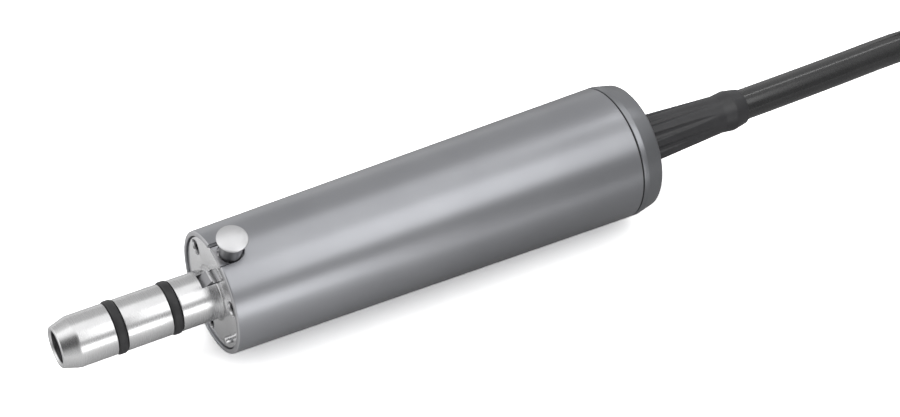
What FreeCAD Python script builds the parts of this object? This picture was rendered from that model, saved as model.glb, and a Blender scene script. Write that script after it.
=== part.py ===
"""Drive motor handpiece of a surgical power drill, with its supply cable and plug.

Millimetres. X is the motor axis: the nose spigot points to -X and the cable leaves to +X.
+Z passes through the middle of the attachment latch. The origin lies on the axis, in the
front face of the front plate, where an attachment seats.
"""
import FreeCAD
import Part
import Sketcher

import math
import os
import re

DRIVING_SIZES = {
    # housing
    "body_front_radius": 9.77,
    "body_rear_radius": 11.0,
    "body_length": 70.58,
    "bore_radius": 9.0,
    "rim_proud": 0.3,
    "rim_chamfer": 0.25,
    "cut_margin": 1.0,
    # front plate with its screws and index pin
    "plate_thickness": 1.3,
    "plate_gap": 0.18,
    "screw_circle": 7.3,
    "screw_spacing": 120.0,
    "screw_radius": 0.7,
    "screw_depth": 3.2,
    "screw_head_radius": 1.15,
    "screw_head_height": 0.6,
    "screw_head_gap": 0.15,
    "screw_head_sunk": 0.25,
    "screw_hex_radius": 0.6,
    "screw_hex_depth": 0.4,
    "index_circle": 7.6,
    "index_angle": 112.0,
    "index_radius": 0.6,
    "index_shank_radius": 0.8,
    "index_proud": 1.2,
    "index_seat": 2.0,
    "index_chamfer": 0.3,
    # nose spigot
    "spigot_radius": 4.0,
    "spigot_length": 25.1,
    "tip_radius": 3.2,
    "tip_cone_length": 2.6,
    "tip_chamfer": 0.25,
    "drive_bore_radius": 2.55,
    "drive_bore_depth": 11.6,
    "mouth_chamfer": 0.35,
    "relief_radius": 2.8,
    "collar_radius": 4.5,
    "collar_fillet": 0.45,
    "flange_radius": 5.4,
    "flange_thickness": 1.2,
    "seal_front_station": 15.95,
    "seal_rear_station": 7.17,
    "seal_width": 1.44,
    "seal_height": 0.96,
    "seal_proud": 0.17,
    "seal_bevel": 0.36,
    "seal_side_gap": 0.08,
    # latch
    "window_front": 2.35,
    "window_rear": 0.55,
    "window_width": 2.5,
    "bridge_thickness": 0.35,
    "latch_side_gap": 0.15,
    "latch_end_gap": 0.2,
    "latch_bottom": 2.85,
    "latch_top": 3.9,
    "hook_height": 0.45,
    "hook_crest_station": 0.85,
    "hook_crest_width": 0.24,
    "hook_step": 0.12,
    "hook_face": 0.3,
    "cam_station": 4.0,
    "cam_length": 2.0,
    "cam_slope": 0.7,
    "cam_height": 4.45,
    "cam_gap": 0.02,
    "cam_short_side": 0.5,
    "cam_opening_half": 1.6,
    "pivot_station": 8.5,
    "pivot_height": 3.6,
    "pivot_pin_radius": 0.5,
    "pivot_running_gap": 0.04,
    "pivot_boss_radius": 0.95,
    "pivot_pin_overhang": 1.6,
    "latch_tail": 3.5,
    "latch_leaf_length": 2.2,
    "leaf_thickness": 0.16,
    # release slider and button
    "release_rest_angle": 4.2,
    "release_travel": 4.0,
    "slider_inner_radius": 5.8,
    "slider_half_span": 25.0,
    "slider_thickness": 3.7,
    "slider_play": 0.15,
    "slider_stop_angle": 0.9,
    "slider_spring_angle": 17.0,
    "slider_cam_overlap": 0.3,
    "release_leaf_gap": 0.45,
    "release_leaf_width": 3.1,
    "release_leaf_margin": 0.32,
    "block_front_setback": 0.08,
    "block_top": 9.62,
    "stem_station": 2.2,
    "stem_radius": 1.75,
    "notch_gap": 0.13,
    "stem_height": 2.85,
    "tenon_radius": 0.9,
    "tenon_length": 2.6,
    "head_radius": 2.4,
    "head_skirt": 0.55,
    "head_edge": 0.18,
    "head_dome_radius": 8.0,
    # nose body and bearings
    "nose_body_length": 17.7,
    "shaft_clearance": 0.5,
    "bearing_outer_radius": 4.0,
    "bearing_width": 3.0,
    "bearing_race": 0.8,
    "shield_gap": 0.06,
    "front_bearing_station": 14.3,
    "ring_width": 0.6,
    "ring_height": 0.6,
    "ring_lip": 0.4,
    # rotor and drive dog
    "shaft_radius": 1.5,
    "shaft_front": 11.6,
    "rotor_seat_radius": 2.0,
    "magnet_radius": 4.4,
    "sleeve_thickness": 0.4,
    "balance_ring_width": 2.0,
    "dog_radius": 2.3,
    "dog_front": 13.2,
    "dog_length": 4.4,
    "dog_running_gap": 0.03,
    "dog_jaw_width": 1.3,
    "dog_jaw_depth": 1.2,
    "dog_travel": 1.0,
    "dog_pin_radius": 0.4,
    "dog_pin_station": 10.0,
    "dog_pin_length": 4.14,
    "dog_spring_wire": 0.36,
    "dog_spring_gap": 0.06,
    "dog_spring_turns": 3,
    "shaft_collar_front": 5.0,
    "shaft_collar_width": 1.0,
    "shaft_collar_radius": 2.1,
    # stator
    "air_gap": 0.3,
    "winding_thickness": 1.3,
    "winding_overhang": 4.0,
    "winding_end_gap": 1.0,
    # rear bearing carrier, sensor board and leads
    "carrier_length": 6.7,
    "carrier_rear_setback": 5.8,
    "carrier_shoulder": 0.9,
    "preload_thickness": 0.7,
    "preload_width": 1.3,
    "board_thickness": 0.8,
    "board_edge_gap": 0.4,
    "lead_circle": 6.6,
    "lead_radius": 0.55,
    "lead_hole_gap": 0.25,
    "lead_inner_circle": 1.3,
    # rear cap and seal
    "seam_width": 0.25,
    "seam_sunk": 0.15,
    "cap_band": 0.92,
    "cap_length": 3.92,
    "cap_end_radius": 10.35,
    "cap_wall": 2.45,
    "cap_plug_length": 3.8,
    "cap_plug_bore": 7.4,
    "cap_chamfer": 0.2,
    # strain relief boot and cable
    "cable_radius": 2.65,
    "cable_inner_end": 0.6,
    "gland_length": 2.0,
    "boot_flange_overlap": 1.4,
    "boot_radius": 4.2,
    "boot_neck_radius": 3.2,
    "boot_taper_length": 17.6,
    "boot_length": 22.3,
    "bead_radius": 3.45,
    "boot_end_radius": 2.95,
    "bead_end_bend": 5.6,
    "flute_count": 10,
    "flute_radius": 0.75,
    "flute_depth": 0.42,
    "flute_fade": 1.6,
    # stored cable, its strap, and the plug that lies on it
    "hank_x": 208.3,
    "hank_y": 19.0,
    "hank_run": 54.0,
    "hank_fold_radius": 15.9,
    "hank_columns": 3,
    "hank_layers": 4,
    "strap_width": 10.0,
    "strap_thickness": 0.8,
    "strap_bend": 0.5,
    "plug_x": 212.0,
    "plug_boot_length": 14.0,
    "plug_boot_end_radius": 3.3,
    "plug_boot_radius": 4.3,
    "plug_body_radius": 5.4,
    "plug_body_length": 12.0,
    "plug_core_radius": 4.6,
    "plug_core_length": 15.0,
    "plug_sleeve_radius": 6.2,
    "plug_sleeve_length": 12.0,
    "plug_sleeve_gap": 0.05,
    "plug_sleeve_travel": 1.5,
    "plug_nose_radius": 4.4,
    "plug_nose_length": 10.5,
    "plug_nose_wall": 0.6,
    "plug_insert_depth": 5.5,
    "plug_pin_radius": 0.35,
    "plug_pin_length": 4.2,
    "plug_pin_circle": 2.3,
    "plug_pin_count": 7,
    "plug_chamfer": 0.6,
}


class Size:
    """A number that remembers the spreadsheet formula that it comes from."""

    def __init__(self, value, formula):
        self.value = value
        self.formula = formula

    def join(self, other, sign, result):
        other_text = other.formula if isinstance(other, Size) else str(other)
        return Size(result, f"({self.formula} {sign} {other_text})")

    def __add__(self, other):
        return self.join(other, "+", self.value + plain(other))

    def __sub__(self, other):
        return self.join(other, "-", self.value - plain(other))

    def __mul__(self, other):
        return self.join(other, "*", self.value * plain(other))

    def __truediv__(self, other):
        return self.join(other, "/", self.value / plain(other))

    def __neg__(self):
        return Size(-self.value, f"(-{self.formula})")


def plain(value):
    """The number behind a size, or the number itself."""
    return value.value if isinstance(value, Size) else value


def sine(angle):
    return Size(math.sin(math.radians(angle.value)), f"sin({angle.formula})")


def cosine(angle):
    return Size(math.cos(math.radians(angle.value)), f"cos({angle.formula})")


def square_root(number):
    return Size(math.sqrt(number.value), f"sqrt({number.formula})")


doc = FreeCAD.newDocument("drill_motor")
sheet = doc.addObject("Spreadsheet::Sheet", "Sizes")
for row, (alias, number) in enumerate(DRIVING_SIZES.items(), start=1):
    sheet.set(f"A{row}", alias)
    sheet.set(f"B{row}", str(number))
    sheet.setAlias(f"B{row}", alias)
doc.recompute()


def size(alias):
    return Size(float(sheet.get(alias)), f"Sizes.{alias}")


ZERO = Size(0.0, "0")
nodes = {}


def bind(target, path, value):
    """Tie a property to the spreadsheet."""
    if isinstance(value, Size):
        target.setExpression(path, value.formula)


def origin_feature(body, role):
    return [feature for feature in body.Origin.OriginFeatures if feature.Role == role][0]


def new_body(label, several_solids=False):
    body = doc.addObject("PartDesign::Body", label)
    body.Label = label
    body.AllowCompound = several_solids
    nodes[label] = body
    return body


def new_sketch(body, role, offset=(ZERO, ZERO, ZERO)):
    """A sketch on one of the body's origin planes, moved by an offset in its own axes."""
    sketch = body.newObject("Sketcher::SketchObject", body.Name + "_sketch")
    sketch.AttachmentSupport = [(origin_feature(body, role), "")]
    sketch.MapMode = "FlatFace"
    place = FreeCAD.Vector(*[plain(step) for step in offset])
    sketch.AttachmentOffset = FreeCAD.Placement(place, FreeCAD.Rotation())
    for axis, step in zip("xyz", offset):
        bind(sketch, f"AttachmentOffset.Base.{axis}", step)
    return sketch


def fix_point(sketch, shape, end, x, y):
    """Hold a point of the sketch at sizes measured from the sketch's origin."""
    for kind, value, axis in (("DistanceX", x, -2), ("DistanceY", y, -1)):
        if abs(plain(value)) < 1e-9:
            sketch.addConstraint(Sketcher.Constraint("PointOnObject", shape, end, axis))
            continue
        rule = Sketcher.Constraint(kind, -1, 1, shape, end, plain(value))
        number = sketch.addConstraint(rule)
        bind(sketch, f"Constraints[{number}]", value)


def arc_centre(start, finish, radius, bulge_left):
    """Centre of the arc from start to finish that bulges to the left or right of its chord."""
    chord = finish - start
    half = chord.Length / 2
    rise = math.sqrt(max(radius * radius - half * half, 0.0))
    left = FreeCAD.Vector(-chord.y, chord.x, 0).normalize()
    side = -rise if bulge_left else rise
    return (start + finish) / 2 + left * side


def add_arc(sketch, start, finish, radius, bulge_left):
    """Add a short arc. Returns its number and the ends that lie at start and at finish."""
    centre = arc_centre(start, finish, plain(radius), bulge_left)
    first, last = (finish, start) if bulge_left else (start, finish)
    first_angle = math.atan2(first.y - centre.y, first.x - centre.x)
    last_angle = math.atan2(last.y - centre.y, last.x - centre.x)
    circle = Part.Circle(centre, FreeCAD.Vector(0, 0, 1), plain(radius))
    number = sketch.addGeometry(Part.ArcOfCircle(circle, first_angle, last_angle))
    rule = sketch.addConstraint(Sketcher.Constraint("Radius", number, plain(radius)))
    bind(sketch, f"Constraints[{rule}]", radius)
    return (number, 2, 1) if bulge_left else (number, 1, 2)


def outline(sketch, points, arcs=None):
    """A closed outline. arcs maps a side's index to (radius, bulges to the left)."""
    arcs = arcs or {}
    corners = [FreeCAD.Vector(plain(x), plain(y), 0) for x, y in points]
    sides = []
    for index, start in enumerate(corners):
        finish = corners[(index + 1) % len(corners)]
        if index in arcs:
            sides.append(add_arc(sketch, start, finish, *arcs[index]))
        else:
            number = sketch.addGeometry(Part.LineSegment(start, finish))
            sides.append((number, 1, 2))
    for index, (number, near, far) in enumerate(sides):
        following, its_near, _ = sides[(index + 1) % len(sides)]
        joint = Sketcher.Constraint("Coincident", number, far, following, its_near)
        sketch.addConstraint(joint)
    for (number, near, _), (x, y) in zip(sides, points):
        fix_point(sketch, number, near, x, y)


def circle(sketch, x, y, radius):
    centre = FreeCAD.Vector(plain(x), plain(y), 0)
    number = sketch.addGeometry(Part.Circle(centre, FreeCAD.Vector(0, 0, 1), plain(radius)))
    rule = sketch.addConstraint(Sketcher.Constraint("Radius", number, plain(radius)))
    bind(sketch, f"Constraints[{rule}]", radius)
    fix_point(sketch, number, 3, x, y)


def rectangle(sketch, x_low, x_high, y_low, y_high):
    outline(sketch, [(x_low, y_low), (x_high, y_low), (x_high, y_high), (x_low, y_high)])


def finish(body, feature):
    body.Tip = feature
    doc.recompute()
    return feature


def turned(body, points, arcs=None, axis="H_Axis", offset=(ZERO, ZERO, ZERO), kind="Revolution"):
    """Turn an outline in the XZ plane about the sketch's own axis."""
    sketch = new_sketch(body, "XZ_Plane", offset)
    outline(sketch, points, arcs)
    feature = body.newObject(f"PartDesign::{kind}", f"{body.Name}_{kind.lower()}")
    feature.Profile = sketch
    feature.ReferenceAxis = (sketch, [axis])
    feature.Angle = 360
    return finish(body, feature)


def extruded(body, sketch, length, kind="Pad", reverse=False, both_ways=False):
    """Pad or pocket a sketch by a length, or by half of it to each side."""
    feature = body.newObject(f"PartDesign::{kind}", f"{body.Name}_{kind.lower()}")
    feature.Profile = sketch
    feature.Length = plain(length)
    bind(feature, "Length", length)
    feature.Reversed = reverse
    feature.Midplane = both_ways
    return finish(body, feature)


def repeated(body, feature, count, whole_turn=360):
    """Repeat a feature round the motor axis."""
    pattern = body.newObject("PartDesign::PolarPattern", f"{body.Name}_pattern")
    pattern.Originals = [feature]
    pattern.Axis = (origin_feature(body, "X_Axis"), [""])
    pattern.Angle = whole_turn
    pattern.Occurrences = int(plain(count))
    bind(pattern, "Occurrences", count)
    return finish(body, pattern)


def edge_names(body, wanted):
    """Names of the body's edges that a test accepts."""
    edges = body.Tip.Shape.Edges
    return [f"Edge{number}" for number, edge in enumerate(edges, start=1) if wanted(edge)]


def is_ring(edge, station, radius):
    """True for a full circle of a radius, whose centre lies at a station along X."""
    if edge.Degenerated or not edge.isClosed() or not hasattr(edge.Curve, "Radius"):
        return False
    close = abs(edge.Curve.Radius - plain(radius)) < 1e-4
    return close and abs(edge.Curve.Center.x - plain(station)) < 1e-4


def rounded(body, wanted, radius, kind="Fillet"):
    """Fillet or chamfer the edges that a test accepts."""
    base = body.Tip
    names = edge_names(body, wanted)
    feature = body.newObject(f"PartDesign::{kind}", f"{body.Name}_{kind.lower()}")
    feature.Base = (base, names)
    target = "Radius" if kind == "Fillet" else "Size"
    setattr(feature, target, plain(radius))
    bind(feature, target, radius)
    return finish(body, feature)


def polar(radius, angle):
    """Y and Z of a point at an angle from +Z towards +Y, in a YZ sketch."""
    return radius * sine(angle), radius * cosine(angle)


def right_through(radius):
    """Length of a cut, made both ways, that passes right through a round piece."""
    return (radius + size("cut_margin")) * 2


def swing(body, angle):
    """Turn a whole body about the motor axis from +Z towards -Y."""
    body.Placement = FreeCAD.Placement(
        FreeCAD.Vector(), FreeCAD.Rotation(FreeCAD.Vector(1, 0, 0), plain(angle))
    )
    bind(body, "Placement.Rotation.Angle", angle)


rim = -size("rim_proud")
body_end = size("body_length") - size("rim_proud")
bore = size("bore_radius")
plate_back = size("plate_thickness")
stem_reach = size("body_front_radius")
rest_offset = stem_reach * sine(size("release_rest_angle"))
pressed_offset = stem_reach * sine(size("release_travel") - size("release_rest_angle"))
notch_centre = (pressed_offset - rest_offset) / 2
notch_radius = size("stem_radius") + size("notch_gap") + (pressed_offset + rest_offset) / 2
stem_station = size("stem_station")
lever_half_width = size("window_width") / 2 - size("latch_side_gap")
spigot_radius = size("spigot_radius")
slider_back = plate_back + size("slider_play") + size("slider_thickness")
pocket_inner = size("slider_inner_radius") - size("slider_play")
cap_front = body_end + size("seam_width")
cap_back = cap_front + size("cap_length")
boot_end = cap_back + size("boot_length")
floor_level = -size("body_rear_radius")
hank_floor = floor_level + size("strap_thickness")
hank_pitch = size("cable_radius") * 2
hank_top = hank_floor + hank_pitch * size("hank_layers")
hank_inner = size("hank_fold_radius") - size("cable_radius")
hank_outer = hank_inner + hank_pitch * size("hank_columns")
plug_y = size("hank_y") + size("hank_fold_radius") + hank_pitch
plug_height = hank_top + size("plug_sleeve_radius")


def motor_housing():
    """Tapered tube with a round-ended notch for the release button."""
    body = new_body("motor_housing")
    front, rear = size("body_front_radius"), size("body_rear_radius")
    turned(body, [(rim, bore), (body_end, bore), (body_end, rear), (rim, front)])
    rounded(body, lambda edge: is_ring(edge, rim, front), size("rim_chamfer"), "Chamfer")
    slot = new_sketch(body, "XY_Plane")
    mouth = rim - size("rim_chamfer")
    low, high = notch_centre - notch_radius, notch_centre + notch_radius
    outline(
        slot,
        [(mouth, low), (stem_station, low), (stem_station + notch_radius, notch_centre),
         (stem_station, high), (mouth, high)],
        {1: (notch_radius, False), 2: (notch_radius, False)},
    )
    extruded(body, slot, rear + rear, "Pocket", reverse=True)


def screw_angles():
    """The plate screws stand opposite the latch and a third of a turn to each side."""
    spacing = size("screw_spacing")
    return [Size(180.0, "180"), Size(180.0, "180") - spacing, Size(180.0, "180") + spacing]


def holes(body, radius, start, depth, angles, circle_radius):
    """Round holes parallel to the motor axis, on a circle about it."""
    sketch = new_sketch(body, "YZ_Plane", (ZERO, ZERO, start))
    for angle in angles:
        y, z = polar(circle_radius, angle)
        circle(sketch, y, z, radius)
    return extruded(body, sketch, depth, "Pocket", reverse=True)


def front_plate():
    """Seat face of the attachment, held by three sunk screws."""
    body = new_body("front_plate")
    edge, inner = bore - size("plate_gap"), size("collar_radius")
    turned(body, [(ZERO, inner), (plate_back, inner), (plate_back, edge), (ZERO, edge)])
    head = size("screw_head_radius") + size("screw_head_gap")
    sunk = size("screw_head_height") + size("screw_head_sunk")
    holes(body, head, ZERO, sunk, screw_angles(), size("screw_circle"))
    through = size("screw_radius") + size("screw_head_gap")
    holes(body, through, ZERO, plate_back, screw_angles(), size("screw_circle"))
    index = -size("index_angle")
    holes(body, size("index_shank_radius"), ZERO, plate_back, [index], size("index_circle"))


def plate_screws():
    """Three socket head screws."""
    body = new_body("plate_screws", several_solids=True)
    y, z = polar(size("screw_circle"), Size(180.0, "180"))
    top = size("screw_head_sunk")
    seat = top + size("screw_head_height")
    head = new_sketch(body, "YZ_Plane", (ZERO, ZERO, top))
    circle(head, y, z, size("screw_head_radius"))
    extruded(body, head, size("screw_head_height"))
    shank = new_sketch(body, "YZ_Plane", (ZERO, ZERO, seat))
    circle(shank, y, z, size("screw_radius"))
    extruded(body, shank, plate_back + size("screw_depth") - seat)
    socket = new_sketch(body, "YZ_Plane", (ZERO, ZERO, top))
    across = size("screw_hex_radius")
    corners = [Size(60.0 * turn, str(60 * turn)) for turn in range(6)]
    outline(socket, [(y + across * sine(turn), z + across * cosine(turn)) for turn in corners])
    extruded(body, socket, size("screw_hex_depth"), "Pocket", reverse=True)
    screws = doc.addObject("Part::Compound", "plate_screw_set")
    copies = []
    for number, angle in enumerate((ZERO, size("screw_spacing"), -size("screw_spacing"))):
        link = doc.addObject("App::Link", f"plate_screw_{number}")
        link.LinkedObject = body
        link.Placement = FreeCAD.Placement(
            FreeCAD.Vector(), FreeCAD.Rotation(FreeCAD.Vector(1, 0, 0), plain(angle))
        )
        bind(link, "Placement.Rotation.Angle", angle)
        copies.append(link)
    screws.Links = copies
    doc.recompute()
    body.Label = "plate_screw"
    screws.Label = "plate_screws"
    nodes["plate_screws"] = screws


def index_pin():
    """Short dowel that keys the attachment's rotation, on a thicker pressed shank."""
    body = new_body("index_pin")
    y, z = polar(size("index_circle"), -size("index_angle"))
    front = -size("index_proud")
    dowel = new_sketch(body, "YZ_Plane", (ZERO, ZERO, front))
    circle(dowel, y, z, size("index_radius"))
    extruded(body, dowel, size("index_proud"))
    shank = new_sketch(body, "YZ_Plane")
    circle(shank, y, z, size("index_shank_radius"))
    extruded(body, shank, size("index_seat"))
    tip = size("index_radius")
    rounded(body, lambda edge: is_ring(edge, front, tip), size("index_chamfer"), "Chamfer")


def nose_spigot():
    """Hollow spigot with two seal grooves, a latch window and a clamped flange."""
    body = new_body("nose_spigot")
    tip = -size("spigot_length")
    cone_end = tip + size("tip_cone_length")
    drive_bore, relief = size("drive_bore_radius"), size("relief_radius")
    bore_end = tip + size("drive_bore_depth")
    back = plate_back + size("flange_thickness")
    groove_floor = spigot_radius + size("seal_proud") - size("seal_height")
    half_groove = size("seal_width") / 2 + size("seal_side_gap")
    collar, fillet = size("collar_radius"), size("collar_fillet")
    points = [(tip, drive_bore), (tip, size("tip_radius")), (cone_end, spigot_radius)]
    for station in (size("seal_front_station"), size("seal_rear_station")):
        points += [
            (-station - half_groove, spigot_radius),
            (-station - half_groove, groove_floor),
            (-station + half_groove, groove_floor),
            (-station + half_groove, spigot_radius),
        ]
    points += [
        (-fillet, spigot_radius),
        (ZERO, spigot_radius + fillet),
        (ZERO, collar),
        (plate_back, collar),
        (plate_back, size("flange_radius")),
        (back, size("flange_radius")),
        (back, relief),
        (bore_end, relief),
        (bore_end, drive_bore),
    ]
    turned(body, points, {11: (fillet, False)})
    rounded(body, lambda edge: is_ring(edge, tip, size("tip_radius")), size("tip_chamfer"), "Chamfer")
    mouth = size("mouth_chamfer")
    rounded(body, lambda edge: is_ring(edge, tip, drive_bore), mouth, kind="Chamfer")
    half = size("window_width") / 2
    window = new_sketch(body, "XY_Plane")
    rectangle(window, -size("window_front"), size("window_rear"), -half, half)
    extruded(body, window, collar + collar, "Pocket", reverse=True)
    tunnel = new_sketch(body, "XZ_Plane")
    under_bridge = collar - size("bridge_thickness")
    rectangle(tunnel, size("window_rear"), back, ZERO, under_bridge)
    extruded(body, tunnel, size("window_width"), "Pocket", both_ways=True)


def seal_ring(label, station):
    """Elastic ring seated on its groove's floor and standing proud of the spigot."""
    body = new_body(label)
    inner = spigot_radius + size("seal_proud") - size("seal_height")
    outer = spigot_radius + size("seal_proud")
    half, bevel = size("seal_width") / 2, size("seal_bevel")
    turned(
        body,
        [(-station - half, inner), (-station + half, inner), (-station + half, outer - bevel),
         (-station + half - bevel, outer), (-station - half + bevel, outer),
         (-station - half, outer - bevel)],
    )


def nose_body():
    """Bearing carrier that closes the housing's front and guides latch and slider."""
    body = new_body("nose_body")
    flange_back = plate_back + size("flange_thickness")
    through = size("shaft_radius") + size("shaft_clearance")
    seat = size("front_bearing_station")
    rear = plate_back + size("nose_body_length")
    race, ring = size("bearing_outer_radius"), size("ring_height")
    ring_front = seat + size("bearing_width")
    ring_back = ring_front + size("ring_width")
    latch_end = size("pivot_station") + size("latch_tail") + size("latch_end_gap")
    relief = size("relief_radius")
    turned(
        body,
        [
            (plate_back, size("flange_radius")), (flange_back, size("flange_radius")),
            (flange_back, relief), (latch_end, relief), (latch_end, through), (seat, through),
            (seat, race), (ring_front, race), (ring_front, race + ring),
            (ring_back, race + ring), (ring_back, race), (rear, race),
            (rear, bore), (plate_back, bore),
        ],
    )
    tapped = size("screw_radius")
    holes(body, tapped, plate_back, size("screw_depth"), screw_angles(), size("screw_circle"))
    index = -size("index_angle")
    depth = size("index_seat") - plate_back
    holes(body, size("index_shank_radius"), plate_back, depth, [index], size("index_circle"))
    slider_pocket(body)
    lever_slot(body, flange_back, latch_end)


def slider_pocket(body):
    """Arc-shaped pocket of the release slider, with room for its spring at one end."""
    span, rest = size("slider_half_span"), size("release_rest_angle")
    low = -span - rest - size("slider_stop_angle")
    high = span - rest + size("slider_spring_angle")
    outer = bore + size("rim_proud")
    pocket = new_sketch(body, "YZ_Plane", (ZERO, ZERO, plate_back))
    outline(
        pocket,
        [polar(pocket_inner, low), polar(outer, low), polar(outer, high), polar(pocket_inner, high)],
        {1: (outer, True), 3: (pocket_inner, False)},
    )
    depth = slider_back + size("slider_play") - plate_back
    extruded(body, pocket, depth, "Pocket", reverse=True)


def lever_slot(body, front, rear):
    """Slot of the latch lever, the slider's cam opening and the pin hole."""
    boss_top = size("pivot_height") + size("pivot_boss_radius") + size("latch_end_gap")
    slot = new_sketch(body, "XZ_Plane")
    rectangle(slot, front, rear, ZERO, boss_top)
    extruded(body, slot, size("window_width"), "Pocket", both_ways=True)
    opening = new_sketch(body, "XY_Plane")
    cam_half = size("cam_length") / 2 + size("latch_end_gap")
    side = size("cam_opening_half")
    cam = size("cam_station")
    rectangle(opening, cam - cam_half, cam + cam_half, -side, side)
    extruded(body, opening, pocket_inner + size("slider_play"), "Pocket", reverse=True)
    hole = new_sketch(body, "XZ_Plane")
    circle(hole, size("pivot_station"), size("pivot_height"), size("pivot_pin_radius"))
    reach = size("window_width") + size("pivot_pin_overhang") + size("pivot_pin_overhang")
    extruded(body, hole, reach, "Pocket", both_ways=True)


def latch_lever():
    """Two-armed lever whose hook stands in the spigot's window."""
    body = new_body("latch_lever")
    low, top = size("latch_bottom"), size("latch_top")
    front = size("latch_end_gap") - size("window_front")
    crest = -size("hook_crest_station")
    crest_height = spigot_radius + size("hook_height")
    ramp = size("hook_step")
    tail = size("pivot_station") + size("latch_tail")
    pivot, boss = size("pivot_station"), size("pivot_boss_radius")
    boss_top = size("pivot_height") + boss
    side = new_sketch(body, "XZ_Plane")
    outline(
        side,
        [
            (front, low), (tail, low), (tail, top), (pivot + boss + ramp, top),
            (pivot + boss, boss_top), (pivot - boss, boss_top), (pivot - boss - ramp, top),
            (crest + size("hook_crest_width") + ramp, top),
            (crest + size("hook_crest_width"), crest_height), (crest, crest_height),
            (front, low + size("hook_face")),
        ],
    )
    extruded(body, side, lever_half_width * 2, both_ways=True)
    wedge(body, low, -size("cam_gap"))
    hole = new_sketch(body, "XZ_Plane")
    running = size("pivot_pin_radius") + size("pivot_running_gap")
    circle(hole, pivot, size("pivot_height"), running)
    extruded(body, hole, right_through(lever_half_width), "Pocket", both_ways=True)


def wedge(body, base, rise):
    """Cam block whose sloped side pushes the lever down as the slider moves across it."""
    short, far = -size("cam_short_side"), lever_half_width
    height, slope = size("cam_height") + rise, size("cam_slope")
    station = size("cam_station") - size("cam_length") / 2
    sketch = new_sketch(body, "YZ_Plane", (ZERO, ZERO, station))
    outline(
        sketch,
        [(short, base), (far, base), (far, height + far * slope), (short, height + short * slope)],
    )
    extruded(body, sketch, size("cam_length"))


def latch_pin():
    """Pivot pin of the latch lever, pressed into the nose body."""
    body = new_body("latch_pin")
    sketch = new_sketch(body, "XZ_Plane")
    circle(sketch, size("pivot_station"), size("pivot_height"), size("pivot_pin_radius"))
    reach = size("window_width") + size("pivot_pin_overhang") + size("pivot_pin_overhang")
    extruded(body, sketch, reach, both_ways=True)


def latch_spring():
    """Bent leaf in the slot that presses the lever's tail down and so lifts the hook."""
    body = new_body("latch_spring")
    leaf = size("leaf_thickness")
    roof = size("pivot_height") + size("pivot_boss_radius") + size("latch_end_gap")
    rear = size("pivot_station") + size("latch_tail")
    front = rear - size("latch_leaf_length")
    top = size("latch_top")
    sketch = new_sketch(body, "XZ_Plane")
    outline(
        sketch,
        [(rear - leaf, top), (rear, top), (front + leaf * 2, roof), (front, roof)],
    )
    extruded(body, sketch, lever_half_width * 2, both_ways=True)


def release_slider():
    """Arc-shaped slider with the block that fills the notch and the cam over the lever."""
    body = new_body("release_slider")
    inner, outer = size("slider_inner_radius"), bore - size("slider_play")
    span = size("slider_half_span")
    front = plate_back + size("slider_play")
    sector = new_sketch(body, "YZ_Plane", (ZERO, ZERO, front))
    outline(
        sector,
        [polar(inner, -span), polar(outer, -span), polar(outer, span), polar(inner, span)],
        {1: (outer, True), 3: (inner, False)},
    )
    extruded(body, sector, size("slider_thickness"))
    under = bore - size("plate_gap") + size("slider_play")
    root = outer - size("slider_play")
    tongue(body, front, root, under)
    tongue(body, rim + size("block_front_setback"), under, size("block_top"))
    wedge(body, inner + size("slider_cam_overlap"), ZERO)
    tenon_hole = new_sketch(body, "XY_Plane", (ZERO, ZERO, size("block_top")))
    circle(tenon_hole, stem_station, ZERO, size("tenon_radius"))
    extruded(body, tenon_hole, size("tenon_length"), "Pocket")
    swing(body, size("release_rest_angle"))


def tongue(body, face, bottom, top):
    """Block with a flat front face that is rounded like the stem at its back."""
    wide = size("stem_radius")
    sketch = new_sketch(body, "XY_Plane", (ZERO, ZERO, bottom))
    outline(
        sketch,
        [(face, -wide), (stem_station, -wide), (stem_station + wide, ZERO), (stem_station, wide),
         (face, wide)],
        {1: (wide, False), 2: (wide, False)},
    )
    extruded(body, sketch, top - bottom)


def release_button():
    """Mushroom button pressed into the slider."""
    body = new_body("release_button")
    top = size("block_top")
    tenon, stem, head = size("tenon_radius"), size("stem_radius"), size("head_radius")
    skirt = top + size("stem_height")
    edge = skirt + size("head_skirt")
    rim_top = edge + size("head_edge")
    dome = size("head_dome_radius")
    crown = rim_top + dome - square_root(dome * dome - head * head)
    turned(
        body,
        [
            (ZERO, top - size("tenon_length")), (tenon, top - size("tenon_length")),
            (tenon, top), (stem, top), (stem, skirt), (head, edge), (head, rim_top),
            (ZERO, crown),
        ],
        {6: (dome, False)},
        axis="V_Axis",
        offset=(stem_station, ZERO, ZERO),
    )
    swing(body, size("release_rest_angle"))


def release_spring():
    """Bent leaf between the slider's end and the pocket's end that returns the button."""
    body = new_body("release_spring")
    leaf = size("leaf_thickness")
    low = size("slider_half_span") - size("release_rest_angle")
    high = low + size("slider_spring_angle")
    middle = (low + high) / 2
    near, far = pocket_inner + leaf, bore - size("release_leaf_margin")
    foot = far - size("release_leaf_margin")
    front = plate_back + size("release_leaf_gap")
    sketch = new_sketch(body, "YZ_Plane", (ZERO, ZERO, front))
    outline(
        sketch,
        [polar(far, low), polar(near + leaf, middle), polar(far, high),
         polar(foot, high), polar(near, middle), polar(foot, low)],
    )
    extruded(body, sketch, size("release_leaf_width"))


def bearing(prefix, station):
    """Shielded bearing: an outer race whose shields run close to the inner race."""
    width, outer = size("bearing_width"), size("bearing_outer_radius")
    inner_land = size("shaft_radius") + size("bearing_race")
    shield_hole = inner_land + size("shield_gap")
    end = station + width
    washer(f"{prefix}_bearing_outer", station, end, shield_hole, outer)
    body = new_body(f"{prefix}_bearing_inner")
    low = size("shaft_radius")
    turned(body, [(station, low), (end, low), (end, inner_land), (station, inner_land)])


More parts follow.
